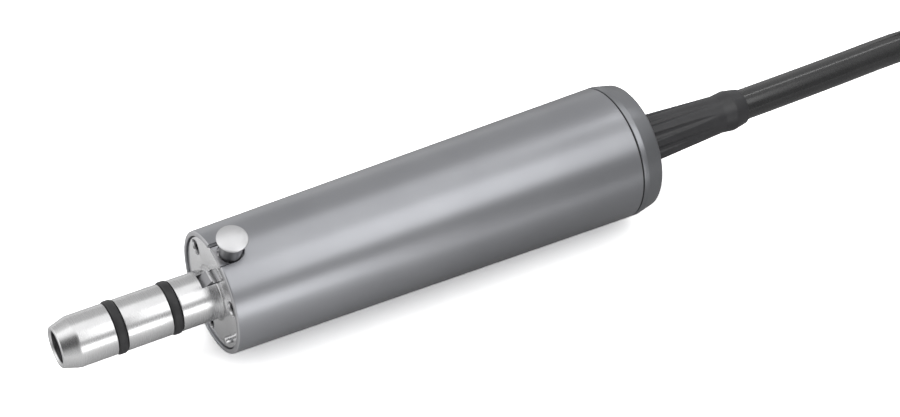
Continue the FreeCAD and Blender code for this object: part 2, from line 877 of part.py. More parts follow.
def retaining_ring(label, station):
    """Snap ring that holds a bearing in its seat."""
    body = new_body(label)
    race = size("bearing_outer_radius")
    low, high = race - size("ring_lip"), race + size("ring_height")
    end = station + size("ring_width")
    turned(body, [(station, low), (end, low), (end, high), (station, high)])


def washer(label, front, rear, inner, outer):
    """Plain ring about the motor axis."""
    body = new_body(label)
    turned(body, [(front, inner), (rear, inner), (rear, outer), (front, outer)])
    return body


front_bearing_back = size("front_bearing_station") + size("bearing_width")
carrier_back = body_end - size("carrier_rear_setback")
carrier_front = carrier_back - size("carrier_length")
winding_reach = size("winding_end_gap") + size("winding_overhang")
magnet_front = plate_back + size("nose_body_length") + winding_reach
magnet_back = carrier_front - size("board_thickness") - winding_reach
rear_bearing_front = carrier_front + size("carrier_shoulder")
rear_bearing_back = rear_bearing_front + size("bearing_width")


def rotor():
    """Shaft, magnet, sleeve, balance rings and the sprung drive dog."""
    shaft = new_body("rotor_shaft")
    thin, thick = size("shaft_radius"), size("rotor_seat_radius")
    collar_front = -size("shaft_collar_front")
    collar_back = collar_front + size("shaft_collar_width")
    seat = front_bearing_back
    turned(
        shaft,
        [
            (-size("shaft_front"), ZERO), (-size("shaft_front"), thin), (collar_front, thin),
            (collar_front, size("shaft_collar_radius")), (collar_back, size("shaft_collar_radius")),
            (collar_back, thin), (seat, thin), (seat, thick), (rear_bearing_front, thick),
            (rear_bearing_front, thin), (rear_bearing_back + size("ring_width"), thin),
            (rear_bearing_back + size("ring_width"), ZERO),
        ],
    )
    cross_hole(shaft, size("dog_pin_radius"), ZERO)
    magnet = size("magnet_radius")
    washer("rotor_magnet", magnet_front, magnet_back, thick, magnet)
    ring = size("balance_ring_width")
    washer("rotor_sleeve", magnet_front, magnet_back, magnet, magnet + size("sleeve_thickness"))
    washer("balance_ring_front", magnet_front - ring, magnet_front, thick, magnet)
    washer("balance_ring_rear", magnet_back, magnet_back + ring, thick, magnet)


def cross_hole(body, radius, stretch):
    """Hole along Z for the dog's pin, stretched along the axis where the dog has to slide."""
    hole = new_sketch(body, "XY_Plane")
    station = -size("dog_pin_station")
    if stretch is ZERO:
        circle(hole, station, ZERO, radius)
    else:
        rectangle(hole, station - stretch - radius, station + radius, -radius, radius)
    extruded(body, hole, right_through(size("dog_radius")), "Pocket", both_ways=True)


def drive_dog():
    """Sliding jaw coupling on the shaft's front end, its pin and its spring."""
    dog = new_body("drive_dog")
    front = -size("dog_front")
    back = front + size("dog_length")
    hole = size("shaft_radius") + size("dog_running_gap")
    outer = size("dog_radius")
    turned(dog, [(front, hole), (back, hole), (back, outer), (front, outer)])
    jaw = new_sketch(dog, "XY_Plane")
    half = size("dog_jaw_width") / 2
    rectangle(jaw, front, front + size("dog_jaw_depth"), -half, half)
    extruded(dog, jaw, right_through(outer), "Pocket", both_ways=True)
    cross_hole(dog, size("dog_pin_radius") + size("dog_running_gap"), size("dog_travel"))
    pin = new_body("dog_pin")
    station = -size("dog_pin_station")
    sketch = new_sketch(pin, "XY_Plane")
    circle(sketch, station, ZERO, size("dog_pin_radius"))
    extruded(pin, sketch, size("dog_pin_length"), both_ways=True)
    dog_spring(back)


def dog_spring(front):
    """Square wire spring between the dog and the shaft's collar."""
    body = new_body("dog_spring")
    wire = size("dog_spring_wire")
    low = size("shaft_radius") + size("dog_spring_gap")
    length = -size("shaft_collar_front") - front - wire
    sketch = new_sketch(body, "XZ_Plane")
    rectangle(sketch, front, front + wire, low, low + wire)
    helix = body.newObject("PartDesign::AdditiveHelix", "dog_spring_helix")
    helix.Profile = sketch
    helix.ReferenceAxis = (sketch, ["H_Axis"])
    helix.Mode = 2
    helix.Height = plain(length)
    bind(helix, "Height", length)
    helix.Turns = number_of("dog_spring_turns")
    bind(helix, "Turns", size("dog_spring_turns"))
    finish(body, helix)


def stator():
    """Slotless winding and its laminated ring."""
    inner = size("magnet_radius") + size("sleeve_thickness") + size("air_gap")
    outer = inner + size("winding_thickness")
    over = size("winding_overhang")
    washer("stator_winding", magnet_front - over, magnet_back + over, inner, outer)
    washer("stator_core", magnet_front, magnet_back, outer, bore)


def lead_angles():
    return [Size(90.0, "90"), Size(210.0, "210"), Size(330.0, "330")]


def rear_carrier():
    """Rear bearing seat with passages for the leads."""
    body = new_body("rear_carrier")
    race = size("bearing_outer_radius")
    through = size("shaft_radius") + size("shaft_clearance")
    wall_front = rear_bearing_back + size("preload_thickness")
    turned(
        body,
        [
            (carrier_front, race), (wall_front, race), (wall_front, through),
            (carrier_back, through), (carrier_back, bore), (carrier_front, bore),
        ],
    )
    radius = size("lead_radius") + size("lead_hole_gap")
    length = size("carrier_length")
    holes(body, radius, carrier_front, length, lead_angles(), size("lead_circle"))


def preload_spring():
    """Disc spring that preloads the rear bearing's outer race."""
    body = new_body("preload_spring")
    race = size("bearing_outer_radius")
    height, leaf = size("preload_thickness"), size("leaf_thickness")
    front, back = rear_bearing_back, rear_bearing_back + height
    outer, inner = race - size("shield_gap"), race - size("preload_width")
    turned(
        body,
        [(front, outer), (front, outer - leaf), (back - leaf, inner), (back, inner),
         (back, inner + leaf), (front + leaf, outer)],
    )


def sensor_board():
    """Ring-shaped circuit board in front of the rear carrier."""
    board_front = carrier_front - size("board_thickness")
    inner = size("rotor_seat_radius") + size("shaft_clearance")
    outer = bore - size("board_edge_gap")
    washer("sensor_board", board_front, carrier_front, inner, outer)


def rear_cap():
    """Screwed end cap with a bevelled rim and a hole for the strain relief boot."""
    plug_front = cap_front - size("cap_plug_length")
    outer = size("body_rear_radius")
    band_end = cap_front + size("cap_band")
    wall_front = cap_back - size("cap_wall")
    hole = size("boot_radius")
    body = new_body("rear_cap")
    turned(
        body,
        [
            (plug_front, size("cap_plug_bore")), (wall_front, size("cap_plug_bore")),
            (wall_front, hole), (cap_back, hole), (cap_back, size("cap_end_radius")),
            (band_end, outer), (cap_front, outer), (cap_front, bore), (plug_front, bore),
        ],
    )
    end_ring = size("cap_end_radius")
    rounded(body, lambda edge: is_ring(edge, cap_back, end_ring), size("cap_chamfer"), "Chamfer")
    outer = size("body_rear_radius") - size("seam_sunk")
    washer("rear_seal_ring", body_end, cap_front, bore, outer)


def gland_nut():
    """Nut that clamps the boot's flange and the cable inside the cap."""
    rear = cap_back - size("cap_wall") - size("boot_flange_overlap")
    front = rear - size("gland_length")
    washer("gland_nut", front, rear, size("cable_radius"), size("cap_plug_bore"))


def strain_relief_boot():
    """Tapered boot with flutes that fade out before its end bead."""
    body = new_body("strain_relief_boot")
    cable, root = size("cable_radius"), size("boot_radius")
    wall_front = cap_back - size("cap_wall")
    flange_front = wall_front - size("boot_flange_overlap")
    flange = root + size("boot_flange_overlap")
    neck_end = cap_back + size("boot_taper_length")
    bead = size("bead_radius")
    bead_middle = (neck_end + boot_end) / 2
    turned(
        body,
        [
            (flange_front, cable), (flange_front, flange), (wall_front, flange),
            (wall_front, root), (cap_back, root), (neck_end, size("boot_neck_radius")),
            (bead_middle, bead), (boot_end, size("boot_end_radius")), (boot_end, cable),
        ],
        {6: (size("bead_end_bend"), True)},
    )
    flutes(body, neck_end)


def flutes(body, neck_end):
    """Round grooves along the boot, deepest at the cap."""
    radius, root = size("flute_radius"), size("boot_radius")
    depth = size("flute_depth")
    start = root - depth + radius
    finish_height = size("boot_neck_radius") + radius
    run = neck_end - size("flute_fade") - cap_back
    slope = plain(start - finish_height) / plain(run)
    cutter = body.newObject("PartDesign::SubtractiveCylinder", "flute_cutter")
    cutter.AttachmentSupport = [(origin_feature(body, "YZ_Plane"), "")]
    cutter.MapMode = "FlatFace"
    cutter.Radius = plain(radius)
    cutter.Height = plain(run)
    bind(cutter, "Radius", radius)
    bind(cutter, "Height", run)
    lean = FreeCAD.Rotation(FreeCAD.Vector(1, 0, 0), math.degrees(math.atan(slope)))
    place = FreeCAD.Vector(0, plain(start), plain(cap_back))
    cutter.AttachmentOffset = FreeCAD.Placement(place, lean)
    bind(cutter, "AttachmentOffset.Base.y", start)
    bind(cutter, "AttachmentOffset.Base.z", cap_back)
    lean_formula = Size(
        math.degrees(math.atan(slope)),
        f"atan(({start.formula} - {finish_height.formula}) / {run.formula})",
    )
    bind(cutter, "AttachmentOffset.Rotation.Angle", lean_formula)
    finish(body, cutter)
    repeated(body, cutter, size("flute_count"))


def number_of(alias):
    """A size as a plain number, for shapes made by Part functions."""
    return float(sheet.get(alias))


def tube_path(points):
    """Straight runs joined by tangent arcs. Returns the wire and the smallest radius."""
    corners = [FreeCAD.Vector(*point) for point in points]
    edges = []
    radii = []
    here = corners[0]
    for before, corner, after in zip(corners, corners[1:], corners[2:]):
        to_corner, from_corner = corner - before, after - corner
        shorter = min(to_corner.Length, from_corner.Length)
        turn = to_corner.getAngle(from_corner)
        cut_back = 0.45 * shorter
        radii.append(cut_back / math.tan(turn / 2))
        enter = corner - to_corner.normalize() * cut_back
        leave = corner + from_corner.normalize() * cut_back
        inward = (enter + leave) / 2 - corner
        middle = corner + inward.normalize() * (
            math.hypot(radii[-1], cut_back) - radii[-1]
        )
        edges.append(Part.makeLine(here, enter))
        edges.append(Part.Arc(enter, middle, leave).toShape())
        here = leave
    edges.append(Part.makeLine(here, corners[-1]))
    return Part.Wire(edges), radii


def tube(points, radius):
    """Round tube along a route, with its volume held against section times length."""
    wire, radii = tube_path(points)
    start = wire.Edges[0]
    heading = start.tangentAt(start.FirstParameter)
    ring = Part.Wire(Part.makeCircle(radius, start.valueAt(start.FirstParameter), heading))
    solid = wire.makePipeShell([ring], True, False)
    expected = math.pi * radius * radius * wire.Length
    return solid, radii, solid.Volume / expected, wire.Length


def add_tube(label, route, radius):
    """One cord node, with its radii and length printed."""
    feature = doc.addObject("Part::Feature", label)
    solid, radii, ratio, length = tube(route, radius)
    print(label, "radii", [round(r, 1) for r in radii], "volume ratio", round(ratio, 4),
          "length", round(length, 1))
    feature.Shape = solid
    feature.Label = label
    nodes[label] = feature


def mitred_rod(points, radius):
    """Round rod along straight runs that meet in mitred corners."""
    wire = Part.makePolygon([FreeCAD.Vector(*point) for point in points])
    heading = wire.Edges[0].tangentAt(0)
    ring = Part.Wire(Part.makeCircle(radius, FreeCAD.Vector(*points[0]), heading))
    return wire.makePipeShell([ring], True, False, 1)


def cable_inner_end():
    """Where the cable ends inside the cap, just past its gland nut."""
    gland_rear = plain(cap_back) - number_of("cap_wall") - number_of("boot_flange_overlap")
    return gland_rear - number_of("gland_length") - number_of("cable_inner_end")


def cable_route(inner_end, height):
    """Points of the supply cable, from inside the cap to the lowest turn of the hank."""
    return [
        (inner_end, 0, 0),
        (107, 0, 0),
        (146, 2.9, -2.4),
        (168, -7.3, height + 0.1),
        (192, -7.5, height),
    ]


def tail_route(plug_end):
    """Points of the cable's last stretch, from the hank's top into the plug on its axis."""
    return [
        (250, 34.4, 10.0),
        (236, 39.9, 13.4),
        (222, plug_end[1], plug_end[2]),
        plug_end,
    ]


def cables():
    """Supply cable up to the hank, and the tail from the hank to the plug."""
    radius = number_of("cable_radius")
    route = cable_route(cable_inner_end(), plain(hank_floor) + radius)
    add_tube("motor_cable", route, radius)
    plug_end = (number_of("plug_x"), plain(plug_y), plain(plug_height))
    add_tube("cable_tail", tail_route(plug_end), radius)


def motor_leads():
    """Three insulated leads from the sensor board to the cable's end."""
    far_circle, near_circle = number_of("lead_circle"), number_of("lead_inner_circle")
    start, bend = plain(carrier_front), plain(carrier_back) + number_of("lead_radius")
    rods = []
    for angle in lead_angles():
        turn = math.radians(plain(angle))
        y, z = math.sin(turn), math.cos(turn)
        rods.append(mitred_rod(
            [(start, far_circle * y, far_circle * z),
             (bend, far_circle * y, far_circle * z),
             (cable_inner_end() - number_of("lead_radius"), near_circle * y, near_circle * z),
             (cable_inner_end(), near_circle * y, near_circle * z)],
            number_of("lead_radius"),
        ))
    feature = doc.addObject("Part::Feature", "motor_leads")
    feature.Shape = Part.makeCompound(rods)
    feature.Label = "motor_leads"
    nodes["motor_leads"] = feature


def oval(sketch, radius):
    """Outline of one side of the folded cable: two straight runs and two half circles."""
    x, y, half = size("hank_x"), size("hank_y"), size("hank_run") / 2
    corners = [
        (x - half, y - radius), (x + half, y - radius), (x + half + radius, y),
        (x + half, y + radius), (x - half, y + radius), (x - half - radius, y),
    ]
    quarter = (radius, False)
    outline(sketch, corners, {1: quarter, 2: quarter, 4: quarter, 5: quarter})


def cable_coil():
    """Outer shape of the cable folded into a long hank."""
    body = new_body("cable_coil")
    sketch = new_sketch(body, "XY_Plane", (ZERO, ZERO, hank_floor))
    oval(sketch, hank_outer)
    oval(sketch, hank_inner)
    extruded(body, sketch, hank_top - hank_floor)


def cable_strap():
    """Band round the hank's near side."""
    body = new_body("cable_strap")
    sketch = new_sketch(body, "YZ_Plane", (ZERO, ZERO, size("hank_x")))
    thickness = size("strap_thickness")
    low, high = size("hank_y") - hank_outer, size("hank_y") - hank_inner
    rectangle(sketch, low - thickness, high + thickness, floor_level, hank_top + thickness)
    rectangle(sketch, low, high, hank_floor, hank_top)
    extruded(body, sketch, size("strap_width"), both_ways=True)
    sides = (plain(low - thickness), plain(high + thickness))
    rounded(body, lambda edge: is_long_corner(edge, sides), size("strap_bend"))


def is_long_corner(edge, sides):
    """A straight edge along X at one of the given distances along Y."""
    box = edge.BoundBox
    return box.YLength < 1e-6 and box.ZLength < 1e-6 and any(abs(box.YMin - y) < 1e-6 for y in sides)


def plug_ends(first, last, radius):
    """A test for the outer rings at both ends of a stretch of the plug."""
    stations = (size("plug_x") + first, size("plug_x") + last)
    return lambda edge: any(is_ring(edge, station, radius) for station in stations)


def plug():
    """Round push-pull plug that lies on the hank and points to -X."""
    place = (size("plug_x"), plug_height, -plug_y)
    boot_length, body_length = size("plug_boot_length"), size("plug_body_length")
    core_length, nose_length = size("plug_core_length"), size("plug_nose_length")
    cable, core = size("cable_radius"), size("plug_core_radius")
    boot_front = -boot_length
    body_front = boot_front - body_length
    core_front = body_front - core_length
    nose_front = core_front - nose_length

    boot = new_body("plug_boot")
    turned(
        boot,
        [(ZERO, cable), (ZERO, size("plug_boot_end_radius")),
         (boot_front, size("plug_boot_radius")), (boot_front, cable)],
        offset=place,
    )
    shell = new_body("plug_body")
    grip = size("plug_body_radius")
    turned(
        shell,
        [(boot_front, ZERO), (boot_front, grip), (body_front, grip), (body_front, core),
         (core_front, core), (core_front, ZERO)],
        offset=place,
    )
    rounded(shell, plug_ends(boot_front, body_front, grip), size("plug_chamfer"), "Chamfer")
    sleeve_back = body_front - size("plug_sleeve_travel") - size("plug_sleeve_gap")
    sleeve = new_body("plug_sleeve")
    hole = core + size("plug_sleeve_gap")
    outer = size("plug_sleeve_radius")
    sleeve_front = sleeve_back - size("plug_sleeve_length")
    turned(
        sleeve,
        [(sleeve_back, hole), (sleeve_back, outer), (sleeve_front, outer), (sleeve_front, hole)],
        offset=place,
    )
    rounded(sleeve, plug_ends(sleeve_back, sleeve_front, outer), size("plug_chamfer"), "Chamfer")
    nose_radius = size("plug_nose_radius")
    wall = size("plug_nose_wall")
    nose = new_body("plug_nose")
    turned(
        nose,
        [(core_front, nose_radius - wall), (core_front, nose_radius), (nose_front, nose_radius),
         (nose_front, nose_radius - wall)],
        offset=place,
    )
    insert = new_body("plug_insert")
    face = nose_front + size("plug_insert_depth")
    turned(
        insert,
        [(core_front, ZERO), (core_front, nose_radius - wall), (face, nose_radius - wall),
         (face, ZERO)],
        offset=place,
    )
    pins = new_body("plug_pins", several_solids=True)
    pin_tip = face - size("plug_pin_length")
    sketch = new_sketch(pins, "YZ_Plane", (plug_y, plug_height, size("plug_x") + pin_tip))
    count = int(number_of("plug_pin_count"))
    for number in range(count - 1):
        turn = Size(360.0 * number / (count - 1), f"(360 * {number} / (Sizes.plug_pin_count - 1))")
        y, z = polar(size("plug_pin_circle"), turn)
        circle(sketch, y, z, size("plug_pin_radius"))
    circle(sketch, ZERO, ZERO, size("plug_pin_radius"))
    extruded(pins, sketch, size("plug_pin_length"))


def build():
    motor_housing()
    front_plate()
    plate_screws()
    index_pin()
    nose_spigot()
    seal_ring("seal_ring_front", size("seal_front_station"))
    seal_ring("seal_ring_rear", size("seal_rear_station"))
    nose_body()
    latch_lever()
    latch_pin()
    latch_spring()
    release_slider()
    release_button()
    release_spring()
    bearing("front", size("front_bearing_station"))
    retaining_ring("front_retaining_ring", front_bearing_back)
    rotor()
    drive_dog()
    stator()
    rear_carrier()
    bearing("rear", rear_bearing_front)
    preload_spring()
    sensor_board()
    rear_cap()
    gland_nut()
    strain_relief_boot()
    cables()
    motor_leads()
    cable_coil()
    cable_strap()
    plug()


def check_and_export():
    doc.recompute()
    for thing in doc.Objects:
        if "Invalid" in thing.State or "Error" in thing.State:
            print("fault in", thing.Name, thing.State)
    os.makedirs("parts", exist_ok=True)
    for name, thing in nodes.items():
        shape = thing.Shape
        if shape.isNull() or not shape.isValid():
            print("bad shape", name)
            continue
        shape.exportStep(f"parts/{name}.step")
        print(name, "solids", len(shape.Solids), "volume", round(shape.Volume, 2))


build()
check_and_export()
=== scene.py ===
"""Finishes, fine shapes, supply cable and studio for the drive motor of a surgical drill."""
import math

import bmesh
import bpy
from mathutils import Matrix, Vector


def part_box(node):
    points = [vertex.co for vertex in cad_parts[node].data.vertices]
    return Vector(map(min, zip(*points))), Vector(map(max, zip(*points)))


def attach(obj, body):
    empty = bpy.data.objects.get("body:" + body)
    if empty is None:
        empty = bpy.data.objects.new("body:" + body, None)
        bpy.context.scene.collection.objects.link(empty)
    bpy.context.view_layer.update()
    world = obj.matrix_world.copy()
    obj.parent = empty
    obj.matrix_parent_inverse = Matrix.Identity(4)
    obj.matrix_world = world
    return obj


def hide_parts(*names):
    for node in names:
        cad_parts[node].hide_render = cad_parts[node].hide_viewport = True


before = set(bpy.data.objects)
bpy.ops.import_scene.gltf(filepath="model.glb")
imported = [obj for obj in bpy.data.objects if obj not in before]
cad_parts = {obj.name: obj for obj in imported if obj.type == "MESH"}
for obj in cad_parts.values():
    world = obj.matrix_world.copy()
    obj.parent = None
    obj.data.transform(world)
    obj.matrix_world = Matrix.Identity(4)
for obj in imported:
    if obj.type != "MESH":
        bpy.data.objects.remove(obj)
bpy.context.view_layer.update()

MM = 0.001


# Camera, fitted to the photograph: its place in millimetres, its three directions and its lens

CAMERA_PLACE = (-91.838, -174.699, 263.942)
CAMERA_RIGHT = (0.86945, -0.47904, 0.12074)
CAMERA_UP = (0.30687, 0.71522, 0.62793)
CAMERA_BACK = (-0.38715, -0.5089, 0.76885)
CAMERA_LENS = 87.147
SENSOR_WIDTH = 36.0


def photo_camera():
    """The camera at the photograph's viewing angle."""
    lens = bpy.data.cameras.new("photo_view")
    lens.sensor_width = SENSOR_WIDTH
    lens.lens = CAMERA_LENS
    lens.clip_start = 0.01
    lens.clip_end = 20.0
    camera = bpy.data.objects.new("photo_view", lens)
    turn = Matrix((CAMERA_RIGHT, CAMERA_UP, CAMERA_BACK)).transposed().to_4x4()
    camera.matrix_world = Matrix.Translation(Vector(CAMERA_PLACE) * MM) @ turn
    bpy.context.scene.collection.objects.link(camera)
    bpy.context.scene.camera = camera


# Materials

def shader_of(name):
    """A new material with its Principled shader, ready for patterns."""
    material = bpy.data.materials.new(name)
    material.use_nodes = True
    shader = material.node_tree.nodes["Principled BSDF"]
    return material, material.node_tree, shader


def add(tree, kind, **settings):
    """A new node; each setting is one of its own values or the start value of an input."""
    node = tree.nodes.new(kind)
    for key, value in settings.items():
        if hasattr(node, key):
            setattr(node, key, value)
        else:
            node.inputs[key].default_value = value
    return node


def place_on(tree, stretch=(1, 1, 1)):
    """Object coordinates, stretched per axis."""
    where = add(tree, "ShaderNodeTexCoord")
    mapping = add(tree, "ShaderNodeMapping")
    mapping.inputs["Scale"].default_value = stretch
    tree.links.new(where.outputs["Object"], mapping.inputs["Vector"])
    return mapping.outputs["Vector"]


def noise(tree, scale, detail=3.0, stretch=(1, 1, 1)):
    """Noise on the piece; scale is per metre."""
    texture = add(tree, "ShaderNodeTexNoise", Scale=scale, Detail=detail, Roughness=0.5)
    tree.links.new(place_on(tree, stretch), texture.inputs["Vector"])
    return texture.outputs["Fac"]


def between(tree, factor, low, high, start=0.0, stop=1.0):
    """A factor mapped from start..stop to low..high."""
    node = add(tree, "ShaderNodeMapRange")
    tree.links.new(factor, node.inputs["Value"])
    for label, value in (("From Min", start), ("From Max", stop), ("To Min", low), ("To Max", high)):
        node.inputs[label].default_value = value
    return node.outputs["Result"]


def blend_colours(tree, factor, first, second, start=0.3, stop=0.7):
    """First colour up to start, second colour from stop, and a blend between them."""
    ramp = add(tree, "ShaderNodeValToRGB")
    ramp.color_ramp.elements[0].position = start
    ramp.color_ramp.elements[0].color = (*first, 1)
    ramp.color_ramp.elements[1].position = stop
    ramp.color_ramp.elements[1].color = (*second, 1)
    tree.links.new(factor, ramp.inputs["Fac"])
    return ramp.outputs["Color"]


def bumped(tree, shader, height, strength, distance):
    """Fine relief on the shader, with its distance in metres."""
    bump = add(tree, "ShaderNodeBump", Strength=strength, Distance=distance)
    tree.links.new(height, bump.inputs["Height"])
    tree.links.new(bump.outputs["Normal"], shader.inputs["Normal"])


def anodised_metal(name, dark, light, roughness, metal=0.85, grit=0.08):
    """Blasted and anodised aluminium: fine grain and faint clouding."""
    material, tree, shader = shader_of(name)
    shader.inputs["Metallic"].default_value = metal
    clouds = noise(tree, 90, detail=4)
    tree.links.new(blend_colours(tree, clouds, dark, light), shader.inputs["Base Color"])
    grain = noise(tree, 9000, detail=2)
    rough = between(tree, grain, roughness - 0.04, roughness + 0.04, 0.2, 0.8)
    tree.links.new(rough, shader.inputs["Roughness"])
    bumped(tree, shader, grain, grit, 0.00001)
    return material


def turned_metal(name, dark, light, roughness, lines=14000, axis=0):
    """Bright metal with fine tool marks that run round an axis."""
    material, tree, shader = shader_of(name)
    shader.inputs["Metallic"].default_value = 1.0
    stretch = [0.02, 0.02, 0.02]
    stretch[axis] = 1.0
    marks = noise(tree, lines, detail=1, stretch=stretch)
    clouds = noise(tree, 400, detail=3)
    tree.links.new(blend_colours(tree, clouds, dark, light), shader.inputs["Base Color"])
    rough = between(tree, marks, roughness - 0.015, roughness + 0.015, 0.2, 0.8)
    tree.links.new(rough, shader.inputs["Roughness"])
    bumped(tree, shader, marks, 0.012, 0.00001)
    return material


def soft_rubber(name, dark, light, roughness, grain=5000, depth=0.00002, coat=0.0):
    """Moulded rubber or cable jacket."""
    material, tree, shader = shader_of(name)
    clouds = noise(tree, 250, detail=4)
    tree.links.new(blend_colours(tree, clouds, dark, light), shader.inputs["Base Color"])
    fine = noise(tree, grain, detail=2)
    rough = between(tree, fine, roughness - 0.06, roughness + 0.06, 0.3, 0.7)
    tree.links.new(rough, shader.inputs["Roughness"])
    shader.inputs["Coat Weight"].default_value = coat
    shader.inputs["Coat Roughness"].default_value = 0.12
    bumped(tree, shader, fine, 0.25, depth)
    return material


def moulded_plastic(name, dark, light, roughness):
    """Plastic straight from the mould: nearly even, with a very fine grain."""
    material, tree, shader = shader_of(name)
    clouds = noise(tree, 600, detail=3)
    tree.links.new(blend_colours(tree, clouds, dark, light), shader.inputs["Base Color"])
    fine = noise(tree, 7000, detail=1)
    tree.links.new(between(tree, fine, roughness - 0.04, roughness + 0.04), shader.inputs["Roughness"])
    bumped(tree, shader, fine, 0.15, 0.00001)
    return material


def layered_metal(name, dark, light, pitch):
    """Stacked laminations seen as rings along the motor axis."""
    material, tree, shader = shader_of(name)
    shader.inputs["Metallic"].default_value = 0.8
    wave = add(tree, "ShaderNodeTexWave", wave_type="BANDS", bands_direction="X", Scale=1 / pitch)
    tree.links.new(place_on(tree), wave.inputs["Vector"])
    layers = wave.outputs["Fac"]
    tree.links.new(blend_colours(tree, layers, dark, light), shader.inputs["Base Color"])
    tree.links.new(between(tree, layers, 0.4, 0.5), shader.inputs["Roughness"])
    bumped(tree, shader, layers, 0.4, 0.00005)
    return material


housing_metal = anodised_metal("anodised_grey", (0.32, 0.325, 0.345), (0.35, 0.355, 0.375), 0.32)
cap_metal = anodised_metal("anodised_cap", (0.245, 0.25, 0.265), (0.275, 0.28, 0.295), 0.32)
# A lighter copy of the anodised grey; on the faces turned towards the nose it is painted light.
rim_metal = anodised_metal("rim_bright", (0.48, 0.48, 0.495), (0.54, 0.54, 0.555), 0.42, metal=0.75)
plate_metal = anodised_metal("plate_satin", (0.88, 0.88, 0.89), (0.92, 0.92, 0.93), 0.16,
                             metal=0.78, grit=0.02)
spigot_metal = turned_metal("spigot_satin", (0.61, 0.61, 0.615), (0.66, 0.66, 0.665), 0.27)
button_metal = anodised_metal("button_satin", (0.62, 0.62, 0.63), (0.66, 0.66, 0.67), 0.38,
                              metal=0.95, grit=0.03)
stem_metal = turned_metal("stem_turned", (0.30, 0.30, 0.31), (0.36, 0.36, 0.37), 0.3, axis=2)
# Dark and light copies of one grey for the latch hook: the dark one is painted shade on its ramp and
# sides, the light one painted light on its flat top.
dark_grey_and_latch_shade = anodised_metal("dark_grey_painted_latch_shade", (0.24, 0.24, 0.25), (0.30, 0.30, 0.31), 0.42, metal=0.8)
latch_lit_top = anodised_metal("latch_painted_light_top", (0.62, 0.62, 0.63), (0.68, 0.68, 0.69), 0.4, metal=0.7)
# A darker copy of turned steel; inside the drive bore and the button's well it is painted shade.
bore_metal = turned_metal("bore_dark", (0.30, 0.30, 0.31), (0.38, 0.38, 0.39), 0.35)
screw_metal = turned_metal("screw_steel", (0.35, 0.35, 0.36), (0.45, 0.45, 0.46), 0.35)
black_steel = turned_metal("screw_black_oxide", (0.04, 0.04, 0.042), (0.07, 0.07, 0.073), 0.4)
plug_metal = turned_metal("plug_nickel", (0.66, 0.65, 0.63), (0.74, 0.73, 0.71), 0.22)
seal_rubber = soft_rubber("seal_black", (0.012, 0.012, 0.013), (0.03, 0.03, 0.032), 0.5)
boot_rubber = soft_rubber("boot_charcoal", (0.027, 0.027, 0.029), (0.04, 0.04, 0.043), 0.38)
jacket_rubber = soft_rubber("jacket_dark", (0.014, 0.014, 0.015), (0.022, 0.022, 0.023), 0.28,
                            grain=2500, depth=0.000003, coat=0.6)
insulator = moulded_plastic("insulator_black", (0.02, 0.02, 0.022), (0.035, 0.035, 0.037), 0.4)
lead_plastic = moulded_plastic("lead_red", (0.30, 0.03, 0.02), (0.38, 0.05, 0.04), 0.4)
board_plastic = moulded_plastic("board_green", (0.01, 0.08, 0.03), (0.02, 0.12, 0.05), 0.35)
contact_gold = turned_metal("contact_gold", (0.75, 0.52, 0.18), (0.85, 0.62, 0.25), 0.2)
copper = turned_metal("winding_copper", (0.55, 0.22, 0.09), (0.70, 0.32, 0.15), 0.35, lines=3000)
ring_brass = turned_metal("ring_brass", (0.62, 0.45, 0.18), (0.72, 0.54, 0.25), 0.3)
lamination = layered_metal("lamination_steel", (0.16, 0.16, 0.17), (0.32, 0.32, 0.33), 0.0035)


# Meshes

def new_object(name, mesh):
    """An object at the origin, unturned, with the mesh or curve given."""
    piece = bpy.data.objects.new(name, mesh)
    bpy.context.scene.collection.objects.link(piece)
    return piece


def smooth(mesh, angle=32):
    """Smooth shading with creases kept at sharp edges."""
    mesh.polygons.foreach_set("use_smooth", [True] * len(mesh.polygons))
    mesh.set_sharp_from_angle(angle=math.radians(angle))


def rounded_profile(corners, steps=5):
    """Corners as (x, r, bend) in millimetres; a bend above zero becomes an arc of that radius."""
    path = []
    count = len(corners)
    for index, (x, r, bend) in enumerate(corners):
        here = Vector((x, r))
        if bend <= 0:
            path.append(here)
            continue
        before = Vector(corners[index - 1][:2]) - here
        after = Vector(corners[(index + 1) % count][:2]) - here
        half = before.angle(after) / 2
        cut_back = min(bend / math.tan(half), before.length * 0.49, after.length * 0.49)
        radius = cut_back * math.tan(half)
        centre = here + (before.normalized() + after.normalized()).normalized() * (
            radius / math.sin(half)
        )
        start = here + before.normalized() * cut_back - centre
        stop = here + after.normalized() * cut_back - centre
        sweep = start.angle_signed(stop)
        for step in range(steps + 1):
            turn = Matrix.Rotation(-sweep * step / steps, 2)
            path.append(centre + turn @ start)
    return path


def turned(name, corners, segments=160, stations=(), steps=5):
    """A closed outline turned about X. stations are extra rings along the outline's long sides."""
    path = rounded_profile(corners, steps)
    path = with_stations(path, stations)
    body = bmesh.new()
    rings = []
    for x, r in path:
        if r < 1e-6:
            rings.append([body.verts.new((x * MM, 0, 0))])
            continue
        ring = []
        for step in range(segments):
            angle = 2 * math.pi * step / segments
            ring.append(body.verts.new((x * MM, -r * math.sin(angle) * MM, r * math.cos(angle) * MM)))
        rings.append(ring)
    for first, second in zip(rings, rings[1:] + rings[:1]):
        if len(first) == 1 and len(second) == 1:
            continue
        for step in range(segments):
            after = (step + 1) % segments
            if len(first) == 1:
                body.faces.new((first[0], second[step], second[after]))
            elif len(second) == 1:
                body.faces.new((first[step], second[0], first[after]))
            else:
                body.faces.new((first[step], second[step], second[after], first[after]))
    bmesh.ops.recalc_face_normals(body, faces=body.faces)
    mesh = bpy.data.meshes.new(name)
    body.to_mesh(mesh)
    body.free()
    smooth(mesh)
    return new_object(name, mesh)


def with_stations(path, stations):
    """The outline with extra points where its sides pass the given places along X."""
    full = []
    for here, after in zip(path, path[1:] + path[:1]):
        full.append(here)
        low, high = sorted((here.x, after.x))
        inside = [x for x in stations if low + 0.05 < x < high - 0.05]
        if here.x > after.x:
            inside.reverse()
        for x in inside:
            share = (x - here.x) / (after.x - here.x)
            full.append(here.lerp(after, share))
    return full


